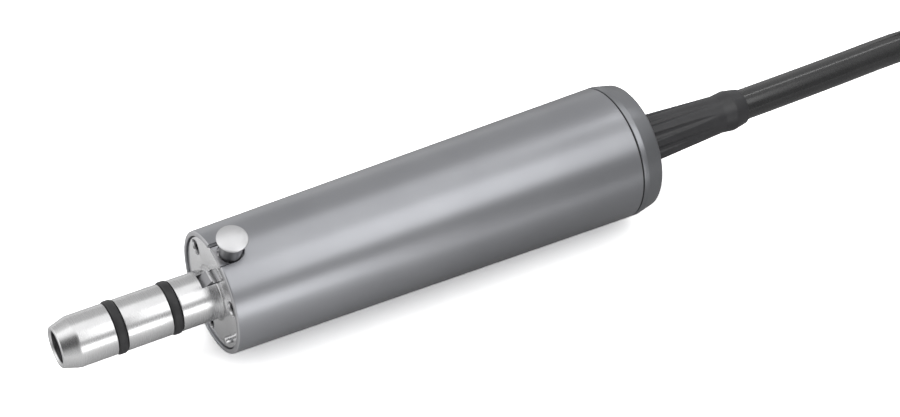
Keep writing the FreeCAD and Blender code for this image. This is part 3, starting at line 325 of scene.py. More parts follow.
def prism(name, outline, low, high, plane="xy"):
    """A straight block on an outline in the XY, XZ or YZ plane, in millimetres."""
    order = {"xy": (0, 1, 2), "xz": (0, 2, 1), "yz": (1, 2, 0)}[plane]
    body = bmesh.new()

    def corner(first, second, third):
        place = [0.0, 0.0, 0.0]
        for axis, value in zip(order, (first, second, third)):
            place[axis] = value * MM
        return body.verts.new(place)

    bottom = [corner(first, second, low) for first, second in outline]
    top = [corner(first, second, high) for first, second in outline]
    body.faces.new(bottom)
    body.faces.new(top)
    for index in range(len(outline)):
        after = (index + 1) % len(outline)
        body.faces.new((bottom[index], bottom[after], top[after], top[index]))
    bmesh.ops.recalc_face_normals(body, faces=body.faces)
    mesh = bpy.data.meshes.new(name)
    body.to_mesh(mesh)
    body.free()
    return new_object(name, mesh)


def disc(across, up, radius, points=40):
    """A round outline for a prism."""
    turns = [2 * math.pi * step / points for step in range(points)]
    return [(across + radius * math.cos(turn), up + radius * math.sin(turn)) for turn in turns]


def evaluated(piece):
    """The piece's mesh with its modifiers worked in, and the modifiers gone."""
    graph = bpy.context.evaluated_depsgraph_get()
    mesh = bpy.data.meshes.new_from_object(piece.evaluated_get(graph))
    piece.modifiers.clear()
    piece.data = mesh
    mesh.name = piece.name
    return piece


def cut(piece, *cutters):
    """Cut blocks out of a piece; the blocks are used up."""
    for cutter in cutters:
        change = piece.modifiers.new("cut", "BOOLEAN")
        change.operation = "DIFFERENCE"
        change.solver = "EXACT"
        change.object = cutter
    evaluated(piece)
    for cutter in cutters:
        bpy.data.objects.remove(cutter)
    return piece


def eased(piece, width, segments=2, angle=34):
    """Small bevels on the sharp edges, then smooth shading."""
    change = piece.modifiers.new("ease", "BEVEL")
    change.width = width * MM
    change.segments = segments
    change.limit_method = "ANGLE"
    change.angle_limit = math.radians(angle)
    change.use_clamp_overlap = True
    evaluated(piece)
    smooth(piece.data, angle=40)
    return piece


def welded_copy(name, node):
    """A joined-up copy of a CAD node's mesh."""
    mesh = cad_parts[node].data.copy()
    mesh.name = name
    body = bmesh.new()
    body.from_mesh(mesh)
    bmesh.ops.remove_doubles(body, verts=body.verts, dist=1e-7)
    bmesh.ops.dissolve_limit(body, angle_limit=math.radians(1), verts=body.verts, edges=body.edges)
    body.to_mesh(mesh)
    body.free()
    mesh.materials.clear()
    return new_object(name, mesh)


def dress(piece, material, body, *nodes, slot=None):
    """Give a piece its material and its body, and hide the CAD nodes it stands for. The slot is not
    used.
    """
    piece.data.materials.clear()
    piece.data.materials.append(material)
    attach(piece, body)
    if nodes:
        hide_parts(*nodes)
    return piece


def millimetres(node):
    """The CAD node's box: its low and high corner."""
    low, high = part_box(node)
    return low / MM, high / MM


# Cable, from inside the cap to its plug, with its stored turns; CABLE is its radius

CABLE = 2.65
PITCH = 2 * CABLE
LEAD = [(68.0, 0, 0), (107, 0, 0), (146, 2.9, -2.4), (168, -7.3, -7.45), (192, -7.5, -7.55)]
TAIL = [(222, 40.2, 17.2), (212, 40.2, 17.2)]
HANK_X, HANK_Y = 208.3, 19.0
HANK_RUN = 54.0
FOLD_RADIUS = 15.9
HANK_FLOOR = -10.2
FOLD_STEP = 30.0
# Column from the inside and layer from the floor, turn by turn
SLOTS = [(2, 0), (2, 1), (2, 2), (2, 3), (1, 3), (1, 2), (1, 1), (1, 0), (0, 0), (0, 1), (0, 2),
         (0, 3)]
# Where along the far run each turn changes to its next place, as a share of the run
CHANGES = [0.62, 0.62, 0.62, 0.56, 0.5, 0.5, 0.5, 0.44, 0.38, 0.38, 0.38]


def slot_place(slot):
    """Distance from the hank's middle line and height of a turn in its place."""
    column, layer = slot
    return FOLD_RADIUS + column * PITCH, HANK_FLOOR + CABLE + layer * PITCH


def fold_points(end, radius, heights):
    """Half a turn round one end of the hank; end is 1 at the far end and -1 at the near one."""
    points = []
    reach = radius / math.cos(math.radians(FOLD_STEP / 2))
    for step, height in enumerate(heights):
        angle = math.radians(FOLD_STEP * (step + 0.5) - 90)
        points.append((
            HANK_X + end * (HANK_RUN / 2 + reach * math.cos(angle)),
            HANK_Y + end * reach * math.sin(angle),
            height,
        ))
    return points


def hank_points():
    """Long turns beside and on each other. The last one climbs on top and ends at the plug."""
    points = []
    steps = round(180 / FOLD_STEP)
    for turn, slot in enumerate(SLOTS):
        radius, height = slot_place(slot)
        near = [-0.12, 0.16] if turn else [0.2]
        points += [(HANK_X + share * HANK_RUN, HANK_Y - radius, height) for share in near]
        if turn == len(SLOTS) - 1:
            break
        points += fold_points(1, radius, [height] * steps)
        new_radius, new_height = slot_place(SLOTS[turn + 1])
        middle = HANK_X + HANK_RUN * (0.5 - CHANGES[turn])
        for share, mix in ((0.25, 0.0), (0.0, 0.5), (-0.25, 1.0)):
            points.append((
                middle + share * HANK_RUN,
                HANK_Y + radius + (new_radius - radius) * mix,
                height + (new_height - height) * mix,
            ))
        points += fold_points(-1, new_radius, [new_height] * steps)
    climb = [0.1, 0.4, 0.75, 0.95, 1.0, 1.0]
    drift = [0.0, 0.05, 0.25, 0.55, 0.85, 1.0]
    rise = fold_points(1, radius, [height + PITCH * share for share in climb])
    for (x, y, z), share in zip(rise, drift):
        grow = 1 + share * PITCH / radius
        centre = HANK_X + HANK_RUN / 2
        points.append((centre + (x - centre) * grow, HANK_Y + (y - HANK_Y) * grow, z))
    return points


def supply_cable():
    """The whole cable as one cord, and its length in metres."""
    route = LEAD + hank_points() + TAIL
    curve = bpy.data.curves.new("supply_cable", "CURVE")
    curve.dimensions = "3D"
    spline = curve.splines.new("NURBS")
    spline.points.add(len(route) - 1)
    for point, place in zip(spline.points, route):
        point.co = (place[0] * MM, place[1] * MM, place[2] * MM, 1)
    spline.order_u = 3
    spline.use_endpoint_u = True
    spline.resolution_u = 8
    curve.bevel_depth = CABLE * MM
    curve.bevel_resolution = 7
    curve.use_fill_caps = True
    cable = new_object("supply_cable", curve)
    cable.data.materials.append(jacket_rubber)
    length = sum(spline_steps(cable))
    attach(cable, "handpiece")
    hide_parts("motor_cable", "cable_coil", "cable_tail")
    return cable, length


def spline_steps(cable):
    """Lengths of the short steps along the cable's own line."""
    plain = cable.data.copy()
    plain.bevel_depth = 0
    line = bpy.data.objects.new("cable_line", plain)
    mesh = bpy.data.meshes.new_from_object(line)
    places = [vertex.co for vertex in mesh.vertices]
    steps = [(b - a).length for a, b in zip(places, places[1:])]
    bpy.data.objects.remove(line)
    bpy.data.meshes.remove(mesh)
    return steps


# Housing, cap and the dark line between them

NOTCH_CENTRE, NOTCH_HALF, NOTCH_STATION = -0.3748, 2.2207, 2.2


def motor_housing():
    """Tapered tube with its notch; the front rim takes a lighter grey, painted light on the faces turned
    towards the nose.
    """
    low, high = millimetres("motor_housing")
    rear_radius = high.z
    front_radius, bore = 9.77, 9.0
    fine = [low.x + 0.4 * step for step in range(1, 16)]
    shell = turned(
        "housing_shell",
        [(low.x, bore, 0.08), (high.x, bore, 0.05), (high.x, rear_radius, 0.08),
         (low.x, front_radius, 0.27)],
        segments=256,
        stations=fine,
    )
    mouth = [(low.x - 1, NOTCH_CENTRE - NOTCH_HALF)]
    for step in range(33):
        angle = math.pi * step / 32 - math.pi / 2
        mouth.append((NOTCH_STATION + NOTCH_HALF * math.cos(angle),
                      NOTCH_CENTRE + NOTCH_HALF * math.sin(angle)))
    mouth.append((low.x - 1, NOTCH_CENTRE + NOTCH_HALF))
    cut(shell, prism("notch", mouth, 4.0, 14.0))
    eased(shell, 0.07)
    dress(shell, housing_metal, "handpiece", "motor_housing", slot="anodised_grey")
    shell.data.materials.append(rim_metal)
    # Faces turned towards the nose take the lighter copy: painted light.
    for face in shell.data.polygons:
        if face.normal.x < -0.35 and face.center.x < 0.0003:
            face.material_index = 1


def rear_cap():
    """End cap with its bevel, and the dark ring ahead of it."""
    low, high = millimetres("rear_cap")
    seal_low, seal_high = millimetres("rear_seal_ring")
    outer, hole, plug_bore = high.z, 4.2, 7.4
    band_end = seal_high.x + 0.92
    wall = high.x - 2.45
    cap = turned(
        "cap_shell",
        [(low.x, plug_bore, 0.1), (wall, plug_bore, 0.1), (wall, hole, 0.05), (high.x, hole, 0.15),
         (high.x, 10.35, 0.45), (band_end, outer, 0.12), (seal_high.x, outer, 0.08),
         (seal_high.x, 9.0, 0), (low.x, 9.0, 0.1)],
        segments=256,
    )
    dress(cap, cap_metal, "handpiece", "rear_cap", slot="anodised_grey")
    seal = turned(
        "seam_ring",
        [(seal_low.x, 9.0, 0), (seal_high.x, 9.0, 0), (seal_high.x, seal_high.z, 0.05),
         (seal_low.x, seal_high.z, 0.05)],
        segments=200,
    )
    dress(seal, seal_rubber, "handpiece", "rear_seal_ring", slot="seal_rubber")


# Nose: plate, spigot, seals, latch, button

SCREW_CIRCLE = 7.3
SCREW_TURNS = (180, 60, -60)


def front_plate():
    """Seat face with a counterbored hole for each screw."""
    low, high = millimetres("front_plate")
    plate = turned(
        "seat_plate",
        [(low.x, 4.5, 0), (high.x, 4.5, 0), (high.x, high.z, 0.1), (low.x, high.z, 0.12)],
        segments=200,
    )
    cutters = []
    for turn in SCREW_TURNS:
        y, z = on_circle(SCREW_CIRCLE, turn)
        cutters.append(prism("head_seat", disc(y, z, 1.3), -1, 0.85, "yz"))
        cutters.append(prism("shank_hole", disc(y, z, 0.85), -1, 3, "yz"))
    cut(plate, *cutters)
    eased(plate, 0.05)
    dress(plate, plate_metal, "handpiece", "front_plate", slot="bright_steel")


def on_circle(radius, angle):
    """Y and Z at an angle from +Z towards +Y."""
    turn = math.radians(angle)
    return radius * math.sin(turn), radius * math.cos(turn)


SEAL_STATIONS = (-15.95, -7.17)
GROOVE_FLOOR = 3.21
WINDOW_FRONT, WINDOW_REAR, WINDOW_HALF = -2.35, 0.55, 1.25


def nose_spigot():
    """Hollow spigot with its cone, seal grooves, blended collar and latch window."""
    low, high = millimetres("nose_spigot")
    tip, back = low.x, high.x
    radius, drive_bore, relief, collar, flange = 4.0, 2.55, 2.8, 4.5, 5.4
    corners = [(tip, drive_bore + 0.2, 0.15), (tip, 3.2, 0.32), (tip + 2.6, radius, 2.2)]
    for station in SEAL_STATIONS:
        for side, level in ((-1, radius), (-1, GROOVE_FLOOR), (1, GROOVE_FLOOR), (1, radius)):
            corners.append((station + side * 0.8, level, 0.12 if level == radius else 0.05))
    corners += [
        (0, radius, 0.45), (0, collar, 0), (1.3, collar, 0.05), (1.3, flange, 0.1),
        (back, flange, 0.1), (back, relief, 0.1), (tip + 11.6, relief, 0.1),
        (tip + 11.6, drive_bore, 0.05), (tip + 0.35, drive_bore, 0.1),
    ]
    spigot = turned("spigot_shell", corners, segments=192,
                    stations=[-6 + 0.4 * step for step in range(20)], steps=8)
    window = prism("window", rectangle(WINDOW_FRONT, WINDOW_REAR, WINDOW_HALF), 0.5, 6)
    tunnel = prism("tunnel", rectangle(WINDOW_REAR - 0.15, 3, WINDOW_HALF), 0.5, 4.15)
    cut(spigot, window, tunnel)
    eased(spigot, 0.04)
    dress(spigot, spigot_metal, "handpiece", "nose_spigot", slot="bright_steel")
    # Faces inside the drive bore take the darker steel: painted shade.
    spigot.data.materials.append(bore_metal)
    for face in spigot.data.polygons:
        middle = face.center / MM
        if math.hypot(middle.y, middle.z) < drive_bore + 0.02 and middle.x < 2.4:
            face.material_index = 1


def rectangle(start, stop, half):
    """A rectangle from start to stop, half as wide to either side."""
    return [(start, -half), (stop, -half), (stop, half), (start, half)]


def seal_rings():
    """Both rubber rings, seated on the floor of their grooves."""
    for node in ("seal_ring_front", "seal_ring_rear"):
        low, high = millimetres(node)
        seal = turned(
            node.replace("seal_ring", "o_ring"),
            [(low.x, GROOVE_FLOOR, 0.1), (high.x, GROOVE_FLOOR, 0.1), (high.x, high.z, 0.4),
             (low.x, high.z, 0.4)],
            segments=160,
        )
        dress(seal, seal_rubber, "handpiece", node, slot="seal_rubber")


WELL_STATION, WELL_RADIUS, WELL_FLOOR = 2.3, 2.05, 8.9
BUTTON_SWING = math.radians(4.2)


def latch_and_slider():
    """Latch hook, and the slider's block with the round well that the button stands in."""
    lever = eased(welded_copy("latch_hook", "latch_lever"), 0.05, segments=3)
    dress(lever, dark_grey_and_latch_shade, "latch", "latch_lever", slot="bright_steel")
    lever.data.materials.append(latch_lit_top)
    # The hook's top faces take the light copy and the rest the dark one: painted light on the flat,
    # painted shade on the ramp.
    for face in lever.data.polygons:
        if face.normal.z > 0.9:
            face.material_index = 1
    slider = welded_copy("slider_block", "release_slider")
    well = prism("well", disc(WELL_STATION, 0, WELL_RADIUS, 64), WELL_FLOOR, 12, "xy")
    well.data.transform(Matrix.Rotation(BUTTON_SWING, 4, "X"))
    cut(slider, well)
    eased(slider, 0.04)
    dress(slider, housing_metal, "release", "release_slider", slot="bright_steel")
    slider.data.materials.append(rim_metal)
    slider.data.materials.append(bore_metal)
    for face in slider.data.polygons:
        middle = Matrix.Rotation(-BUTTON_SWING, 4, "X") @ face.center / MM
        aside = math.hypot(middle.x - WELL_STATION, middle.y)
        # The block's faces turned towards the nose take the lighter copy: painted light.
        if face.normal.x < -0.35:
            face.material_index = 1
        # The well's walls and floor take the darker steel: painted shade.
        if middle.z > WELL_FLOOR - 0.1 and aside < WELL_RADIUS + 0.01:
            face.material_index = 2


def release_button():
    """Mushroom button, made upright about X and then stood up on the swung slider."""
    stem, head, top = 1.75, 2.4, 9.62
    skirt = top + 2.85
    edge = skirt + 0.55
    rim_top = edge + 0.18
    dome = 8.0
    crown = rim_top + dome - math.sqrt(dome * dome - head * head)
    foot = WELL_FLOOR + 0.02
    corners = [(7.02, 0, 0), (7.02, 0.9, 0.1), (foot, 0.9, 0), (foot, stem - 0.15, 0.05),
               (foot + 0.4, stem, 0.2), (skirt, stem, 0.25), (edge, head, 0.08), (rim_top, head, 0.12)]
    for step in range(1, 13):
        r = head * (1 - step / 12)
        corners.append((crown - dome + math.sqrt(dome * dome - r * r), r, 0))
    button = turned("button_head", corners, segments=96)
    stand = Matrix.Translation((2.2 * MM, 0, 0)) @ Matrix.Rotation(math.radians(-90), 4, "Y")
    swing = Matrix.Rotation(BUTTON_SWING, 4, "X")
    button.data.transform(swing @ stand)
    dress(button, button_metal, "release", "release_button", slot="bright_steel")
    button.data.materials.append(stem_metal)
    for face in button.data.polygons:
        middle = swing.inverted() @ face.center / MM
        if middle.z < skirt - 0.1:
            face.material_index = 1


# Strain relief boot

def strain_relief_boot():
    """Rubber boot with its hidden flange, fluted neck and smooth bead."""
    low, high = millimetres("strain_relief_boot")
    root, neck, cable = 4.2, 3.2, CABLE
    start = millimetres("rear_cap")[1].x
    neck_end = start + 17.6
    bead_middle = (neck_end + high.x) / 2
    corners = [
        (low.x, cable, 0.05), (low.x, 5.6, 0.1), (low.x + 1.4, 5.6, 0.1), (low.x + 1.4, root, 0),
        (start, root, 0), (neck_end, neck, 1.5), (bead_middle - 0.2, 3.45, 1.6),
        (high.x, 3.0, 0.5), (high.x, cable, 0.05),
    ]
    boot = turned(
        "boot_shell", corners, segments=240,
        stations=[start + 0.4 * step for step in range(1, 42)],
    )
    fluted(boot, start, neck_end - 1.6)
    smooth(boot.data, 50)
    dress(boot, boot_rubber, "handpiece", "strain_relief_boot", slot="boot_rubber")


def socket_in(tree, label, kind, value=None):
    """A named input of the tree; gives its identifier."""
    socket = tree.interface.new_socket(label, in_out="INPUT", socket_type=kind)
    if value is not None:
        socket.default_value = value
    return socket.identifier


def geometry_tree(name):
    """A new tree with its geometry in and out."""
    tree = bpy.data.node_groups.new(name, "GeometryNodeTree")
    socket_in(tree, "Geometry", "NodeSocketGeometry")
    tree.interface.new_socket("Geometry", in_out="OUTPUT", socket_type="NodeSocketGeometry")
    return tree


def maths(tree, operation, first, second=None, third=None):
    """One math node; plain numbers are set, sockets are linked."""
    node = tree.nodes.new("ShaderNodeMath")
    node.operation = operation
    for socket, value in zip(node.inputs, (first, second, third)):
        if value is None:
            continue
        if isinstance(value, (int, float)):
            socket.default_value = value
        else:
            tree.links.new(value, socket)
    return node.outputs[0]


def fluted(boot, start, stop):
    """Round grooves pressed into the boot, deepest at the cap, fading towards the bead."""
    tree = geometry_tree("boot_flutes")
    wanted = {
        "Count": 10.0, "Groove radius": 0.7 * MM, "Depth": 0.6 * MM,
        "Start": start * MM, "Stop": stop * MM,
    }
    names = {label: socket_in(tree, label, "NodeSocketFloat", value) for label, value in wanted.items()}
    inputs = tree.nodes.new("NodeGroupInput").outputs
    place = tree.nodes.new("GeometryNodeInputPosition")
    parts = tree.nodes.new("ShaderNodeSeparateXYZ")
    tree.links.new(place.outputs[0], parts.inputs[0])
    x, y, z = parts.outputs
    angle = maths(tree, "ARCTAN2", y, z)
    square_z = maths(tree, "MULTIPLY", z, z)
    radius = maths(tree, "SQRT", maths(tree, "MULTIPLY_ADD", y, y, square_z))
    turns = maths(tree, "DIVIDE", maths(tree, "MULTIPLY", angle, inputs["Count"]), 2 * math.pi)
    nearest = maths(tree, "SUBTRACT", turns, maths(tree, "ROUND", turns))
    pitch = maths(tree, "DIVIDE", maths(tree, "MULTIPLY", radius, 2 * math.pi), inputs["Count"])
    across = maths(tree, "MULTIPLY", nearest, pitch)
    run = maths(tree, "SUBTRACT", inputs["Stop"], inputs["Start"])
    share = maths(tree, "DIVIDE", maths(tree, "SUBTRACT", x, inputs["Start"]), run)
    fade = maths(tree, "SUBTRACT", 1.0, share)
    deep = maths(tree, "MULTIPLY", inputs["Depth"], fade)
    square = maths(tree, "MULTIPLY", inputs["Groove radius"], inputs["Groove radius"])
    left = maths(tree, "SUBTRACT", square, maths(tree, "MULTIPLY", across, across))
    reach = maths(tree, "SQRT", maths(tree, "MAXIMUM", left, 0.0))
    lift = maths(tree, "SUBTRACT", inputs["Groove radius"], deep)
    press = maths(tree, "MAXIMUM", maths(tree, "SUBTRACT", reach, lift), 0.0)
    on_outside = maths(tree, "GREATER_THAN", radius, 2.9 * MM)
    past_cap = maths(tree, "GREATER_THAN", share, -0.001)
    before_end = maths(tree, "LESS_THAN", share, 1.0)
    gate = maths(tree, "MULTIPLY", on_outside, maths(tree, "MULTIPLY", past_cap, before_end))
    factor = maths(tree, "DIVIDE", maths(tree, "MULTIPLY", press, gate), radius)
    shift = tree.nodes.new("ShaderNodeCombineXYZ")
    tree.links.new(maths(tree, "MULTIPLY", maths(tree, "MULTIPLY", y, factor), -1.0), shift.inputs[1])
    tree.links.new(maths(tree, "MULTIPLY", maths(tree, "MULTIPLY", z, factor), -1.0), shift.inputs[2])
    moved = tree.nodes.new("GeometryNodeSetPosition")
    tree.links.new(inputs["Geometry"], moved.inputs["Geometry"])
    tree.links.new(shift.outputs[0], moved.inputs["Offset"])
    close_tree(tree, moved.outputs[0], boot_rubber)
    run_tree(boot, tree, {names[label]: value for label, value in wanted.items()})


def close_tree(tree, geometry, material):
    """End a tree in Realize Instances and Set Material."""
    real = tree.nodes.new("GeometryNodeRealizeInstances")
    paint = tree.nodes.new("GeometryNodeSetMaterial")
    paint.inputs["Material"].default_value = material
    output = tree.nodes.new("NodeGroupOutput")
    tree.links.new(geometry, real.inputs[0])
    tree.links.new(real.outputs[0], paint.inputs["Geometry"])
    tree.links.new(paint.outputs[0], output.inputs[0])


def run_tree(piece, tree, values):
    """Set the tree's inputs on the piece and work its shape out."""
    change = piece.modifiers.new("tree", "NODES")
    change.node_group = tree
    for identifier, value in values.items():
        change[identifier] = value
    evaluated(piece)


def ringed(piece, material, count, radius, first, step, centre=(0.0, 0.0)):
    """Copies of a piece on a circle about a line along X; angles run from +Z towards +Y."""
    tree = geometry_tree(piece.name + "_ring")
    names = {
        "Count": socket_in(tree, "Count", "NodeSocketInt", count),
        "Radius": socket_in(tree, "Radius", "NodeSocketFloat", radius * MM),
        "First angle": socket_in(tree, "First angle", "NodeSocketFloat", math.radians(first)),
        "Step angle": socket_in(tree, "Step angle", "NodeSocketFloat", math.radians(step)),
        "Centre Y": socket_in(tree, "Centre Y", "NodeSocketFloat", centre[0] * MM),
        "Centre Z": socket_in(tree, "Centre Z", "NodeSocketFloat", centre[1] * MM),
    }
    values = (count, radius * MM, math.radians(first), math.radians(step),
              centre[0] * MM, centre[1] * MM)
    inputs = tree.nodes.new("NodeGroupInput").outputs
    index = tree.nodes.new("GeometryNodeInputIndex").outputs[0]
    angle = maths(tree, "MULTIPLY_ADD", index, inputs["Step angle"], inputs["First angle"])
    place = tree.nodes.new("ShaderNodeCombineXYZ")
    across = maths(tree, "MULTIPLY", maths(tree, "SINE", angle), inputs["Radius"])
    up = maths(tree, "MULTIPLY", maths(tree, "COSINE", angle), inputs["Radius"])
    tree.links.new(maths(tree, "ADD", across, inputs["Centre Y"]), place.inputs[1])
    tree.links.new(maths(tree, "ADD", up, inputs["Centre Z"]), place.inputs[2])
    points = tree.nodes.new("GeometryNodePoints")
    tree.links.new(inputs["Count"], points.inputs["Count"])
    tree.links.new(place.outputs[0], points.inputs["Position"])
    lean = tree.nodes.new("ShaderNodeCombineXYZ")
    tree.links.new(maths(tree, "MULTIPLY", angle, -1.0), lean.inputs[0])
    turn = tree.nodes.new("FunctionNodeEulerToRotation")
    tree.links.new(lean.outputs[0], turn.inputs[0])
    copies = tree.nodes.new("GeometryNodeInstanceOnPoints")
    tree.links.new(points.outputs[0], copies.inputs["Points"])
    tree.links.new(inputs["Geometry"], copies.inputs["Instance"])
    tree.links.new(turn.outputs[0], copies.inputs["Rotation"])
    close_tree(tree, copies.outputs[0], material)
    run_tree(piece, tree, dict(zip(names.values(), values)))
    return piece


# Small fasteners and pins

def plate_screws():
    """Sunk hexagon-socket screws, one per hole of the plate."""
    head = turned(
        "plate_fasteners",
        [(0.25, 0, 0), (0.25, 1.15, 0.12), (0.85, 1.15, 0.05), (0.85, 0.7, 0), (4.5, 0.7, 0.1),
         (4.5, 0, 0)],
        segments=64,
    )
    hexagon = [on_circle(0.6, 60 * step) for step in range(6)]
    cut(head, prism("hex", hexagon, 0, 0.65, "yz"))
    eased(head, 0.03)
    ringed(head, black_steel, len(SCREW_TURNS), SCREW_CIRCLE, 60, 120)
    smooth(head.data)
    dress(head, black_steel, "handpiece", "plate_screws", slot="bright_steel")


PIN_CIRCLE, PIN_TURN = 7.6, -112


def index_pin():
    """Dowel with a rounded nose, standing in the plate."""
    low, high = millimetres("index_pin")
    y, z = on_circle(PIN_CIRCLE, PIN_TURN)
    pin = turned(
        "index_dowel",
        [(low.x, 0, 0), (low.x, 0.6, 0.22), (0, 0.6, 0.02), (0, 0.7, 0.02), (high.x, 0.7, 0.1),
         (high.x, 0, 0)],
        segments=64,
    )
    pin.data.transform(Matrix.Translation((0, y * MM, z * MM)))
    dress(pin, spigot_metal, "handpiece", "index_pin", slot="bright_steel")


# Plug at the cable's far end

PLUG_Y, PLUG_Z = 40.2, 17.2


def hank_strap():
    """Rubber band drawn round the near side of the hank."""
    low, high = millimetres("cable_strap")
    band = 0.8
    outer = band_outline(low.y, high.y, low.z, high.z, CABLE + band)
    inner = band_outline(low.y + band, high.y - band, low.z + band, high.z - band, CABLE)
    body = bmesh.new()
    for x in (low.x, high.x):
        for loop in (outer, inner):
            for y, z in loop:
                body.verts.new((x * MM, y * MM, z * MM))
    body.verts.ensure_lookup_table()
    count = len(outer)
    rings = [body.verts[count * index:count * (index + 1)] for index in range(4)]
    for first, second in ((0, 1), (1, 3), (3, 2), (2, 0)):
        for step in range(count):
            after = (step + 1) % count
            body.faces.new((rings[first][step], rings[first][after],
                            rings[second][after], rings[second][step]))
    bmesh.ops.recalc_face_normals(body, faces=body.faces)
    mesh = bpy.data.meshes.new("hank_band")
    body.to_mesh(mesh)
    body.free()
    strap = eased(new_object("hank_band", mesh), 0.2)
    dress(strap, boot_rubber, "handpiece", "cable_strap", slot="boot_rubber")
    return strap


def band_outline(left, right, bottom, top, bend, steps=8):
    """A rectangle with rounded corners."""
    points = []
    corners = ((right - bend, bottom + bend, -90), (right - bend, top - bend, 0),
               (left + bend, top - bend, 90), (left + bend, bottom + bend, 180))
    for y, z, start in corners:
        for step in range(steps + 1):
            angle = math.radians(start + 90 * step / steps)
            points.append((y + bend * math.cos(angle), z + bend * math.sin(angle)))
    return points


def on_plug_axis(piece):
    """Move a piece made about X to the plug's place."""
    piece.data.transform(Matrix.Translation((0, PLUG_Y * MM, PLUG_Z * MM)))
    return piece


def plug_boot():
    """Ribbed strain relief of the plug, thinner towards the cable."""
    low, high = millimetres("plug_boot")
    root, ribs, pitch = 4.3, 6, 1.5
    corners = [(low.x, CABLE, 0.05), (low.x, root, 0.2)]
    for step in range(ribs):
        x = low.x + 2.0 + pitch * step
        level = root - (x - low.x) / (high.x - low.x)
        corners += [(x, level, 0.12), (x + 0.15, level - 0.45, 0.12), (x + 0.6, level - 0.47, 0.12),
                    (x + 0.75, level - 0.04, 0.12)]
    corners += [(high.x, 3.3, 0.3), (high.x, CABLE, 0.05)]
    boot = on_plug_axis(turned("plug_relief", corners, segments=96))
    dress(boot, boot_rubber, "handpiece", "plug_boot", slot="boot_rubber")
    return boot


def plug_shell():
    """Plug body: a slim front under the sleeve, and a thick rear with one turned line."""
    low, high = millimetres("plug_body")
    slim, thick, line = 4.6, 5.4, 5.15
    step = high.x - 12.0
    corners = [(low.x, 0, 0), (low.x, slim, 0.15), (step, slim, 0.1), (step, thick, 0.5),
               (high.x - 1.6, thick, 0.1), (high.x - 1.5, line, 0.1), (high.x - 1.2, line, 0.1),
               (high.x - 1.1, thick, 0.1), (high.x, thick, 0.6), (high.x, 0, 0)]
    shell = on_plug_axis(turned("plug_barrel", corners, segments=128))
    dress(shell, plug_metal, "handpiece", "plug_body", slot="plug_metal")
    return shell


SLEEVE_RIM = 2.7


def plug_sleeve():
    """Sliding sleeve with a raised rim at either end."""
    low, high = millimetres("plug_sleeve")
    hole, rim, middle = 4.65, 6.2, 5.85
    front, rear = low.x + SLEEVE_RIM, high.x - SLEEVE_RIM
    corners = [(high.x, hole, 0.1), (high.x, rim, 0.5), (rear + 0.1, rim, 0.1),
               (rear, middle, 0.05), (front, middle, 0.05), (front - 0.1, rim, 0.1),
               (low.x, rim, 0.5), (low.x, hole, 0.1)]
    sleeve = on_plug_axis(turned("plug_slide", corners, segments=128))
    dress(sleeve, plug_metal, "plug_release", "plug_sleeve", slot="plug_metal")
    return sleeve


def plug_grip():
    """Ribs round the sleeve's middle."""
    low, high = millimetres("plug_sleeve")
    rib = prism("plug_grip_ribs", [(-0.16, -0.4), (0.16, -0.4), (0.1, 0.3), (-0.1, 0.3)],
                low.x + SLEEVE_RIM + 0.05, high.x - SLEEVE_RIM - 0.05, "yz")
    eased(rib, 0.05)
    ringed(rib, plug_metal, 36, 5.88, 0, 10, centre=(PLUG_Y, PLUG_Z))
    dress(rib, plug_metal, "plug_release", slot="plug_metal")
    return rib


def plug_nose():
    """Front shroud of the plug with its insulating core."""
    low, high = millimetres("plug_nose")
    bore, outer = 3.8, 4.4
    nose = on_plug_axis(turned(
        "plug_shroud",
        [(high.x, bore, 0), (high.x, outer, 0.05), (low.x, outer, 0.25), (low.x, bore, 0.15)],
        segments=128,
    ))
    dress(nose, plug_metal, "handpiece", "plug_nose", slot="plug_metal")
    low, high = millimetres("plug_insert")
    core = on_plug_axis(turned(
        "plug_core",
        [(high.x, 0, 0), (high.x, bore, 0), (low.x, bore, 0.2), (low.x, 0, 0)],
        segments=96,
    ))
    dress(core, insulator, "handpiece", "plug_insert", slot="insulator")
    return nose, core


def plug_contacts():
    """Seven contact pins: six in a ring and one in the middle."""
    tip = millimetres("plug_pins")[0].x
    face = millimetres("plug_insert")[0].x
    radius = 0.35
    pin = turned("plug_contacts",
                 [(tip, 0, 0), (tip, radius, 0.16), (face, radius, 0), (face, 0, 0)],
                 segments=32)
    middle = pin.data.copy()
    ringed(pin, contact_gold, 6, 2.3, 0, 60, centre=(PLUG_Y, PLUG_Z))
    middle.transform(Matrix.Translation((0, PLUG_Y * MM, PLUG_Z * MM)))
    body = bmesh.new()
    body.from_mesh(pin.data)
    body.from_mesh(middle)
    body.to_mesh(pin.data)
    body.free()
    smooth(pin.data)
    dress(pin, contact_gold, "handpiece", "plug_pins", slot="gold_contacts")
    return pin


# Finishes of the pieces that keep their CAD shape

CARRIED = {
    "nose_body": dark_grey_and_latch_shade,
    "latch_pin": screw_metal,
    "latch_spring": screw_metal,
    "release_spring": screw_metal,
    "front_bearing_outer": screw_metal,
    "front_bearing_inner": bore_metal,
    "front_retaining_ring": screw_metal,
    "rotor_shaft": spigot_metal,
    "rotor_magnet": rim_metal,
    "rotor_sleeve": rim_metal,
    "balance_ring_front": ring_brass,
    "balance_ring_rear": ring_brass,
    "drive_dog": bore_metal,
    "dog_pin": screw_metal,
    "dog_spring": screw_metal,
    "stator_winding": copper,
    "stator_core": lamination,
    "rear_carrier": rim_metal,
    "rear_bearing_outer": screw_metal,
    "rear_bearing_inner": bore_metal,
    "preload_spring": screw_metal,
    "sensor_board": board_plastic,
    "motor_leads": lead_plastic,
    "gland_nut": plug_metal,
}


def finish_carried():
    """Give each piece that keeps its CAD shape its finish, in every slot."""
    for node, material in CARRIED.items():
        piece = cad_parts[node]
        if not piece.material_slots:
            piece.data.materials.append(material)
        for place in piece.material_slots:
            place.material = material


# Studio

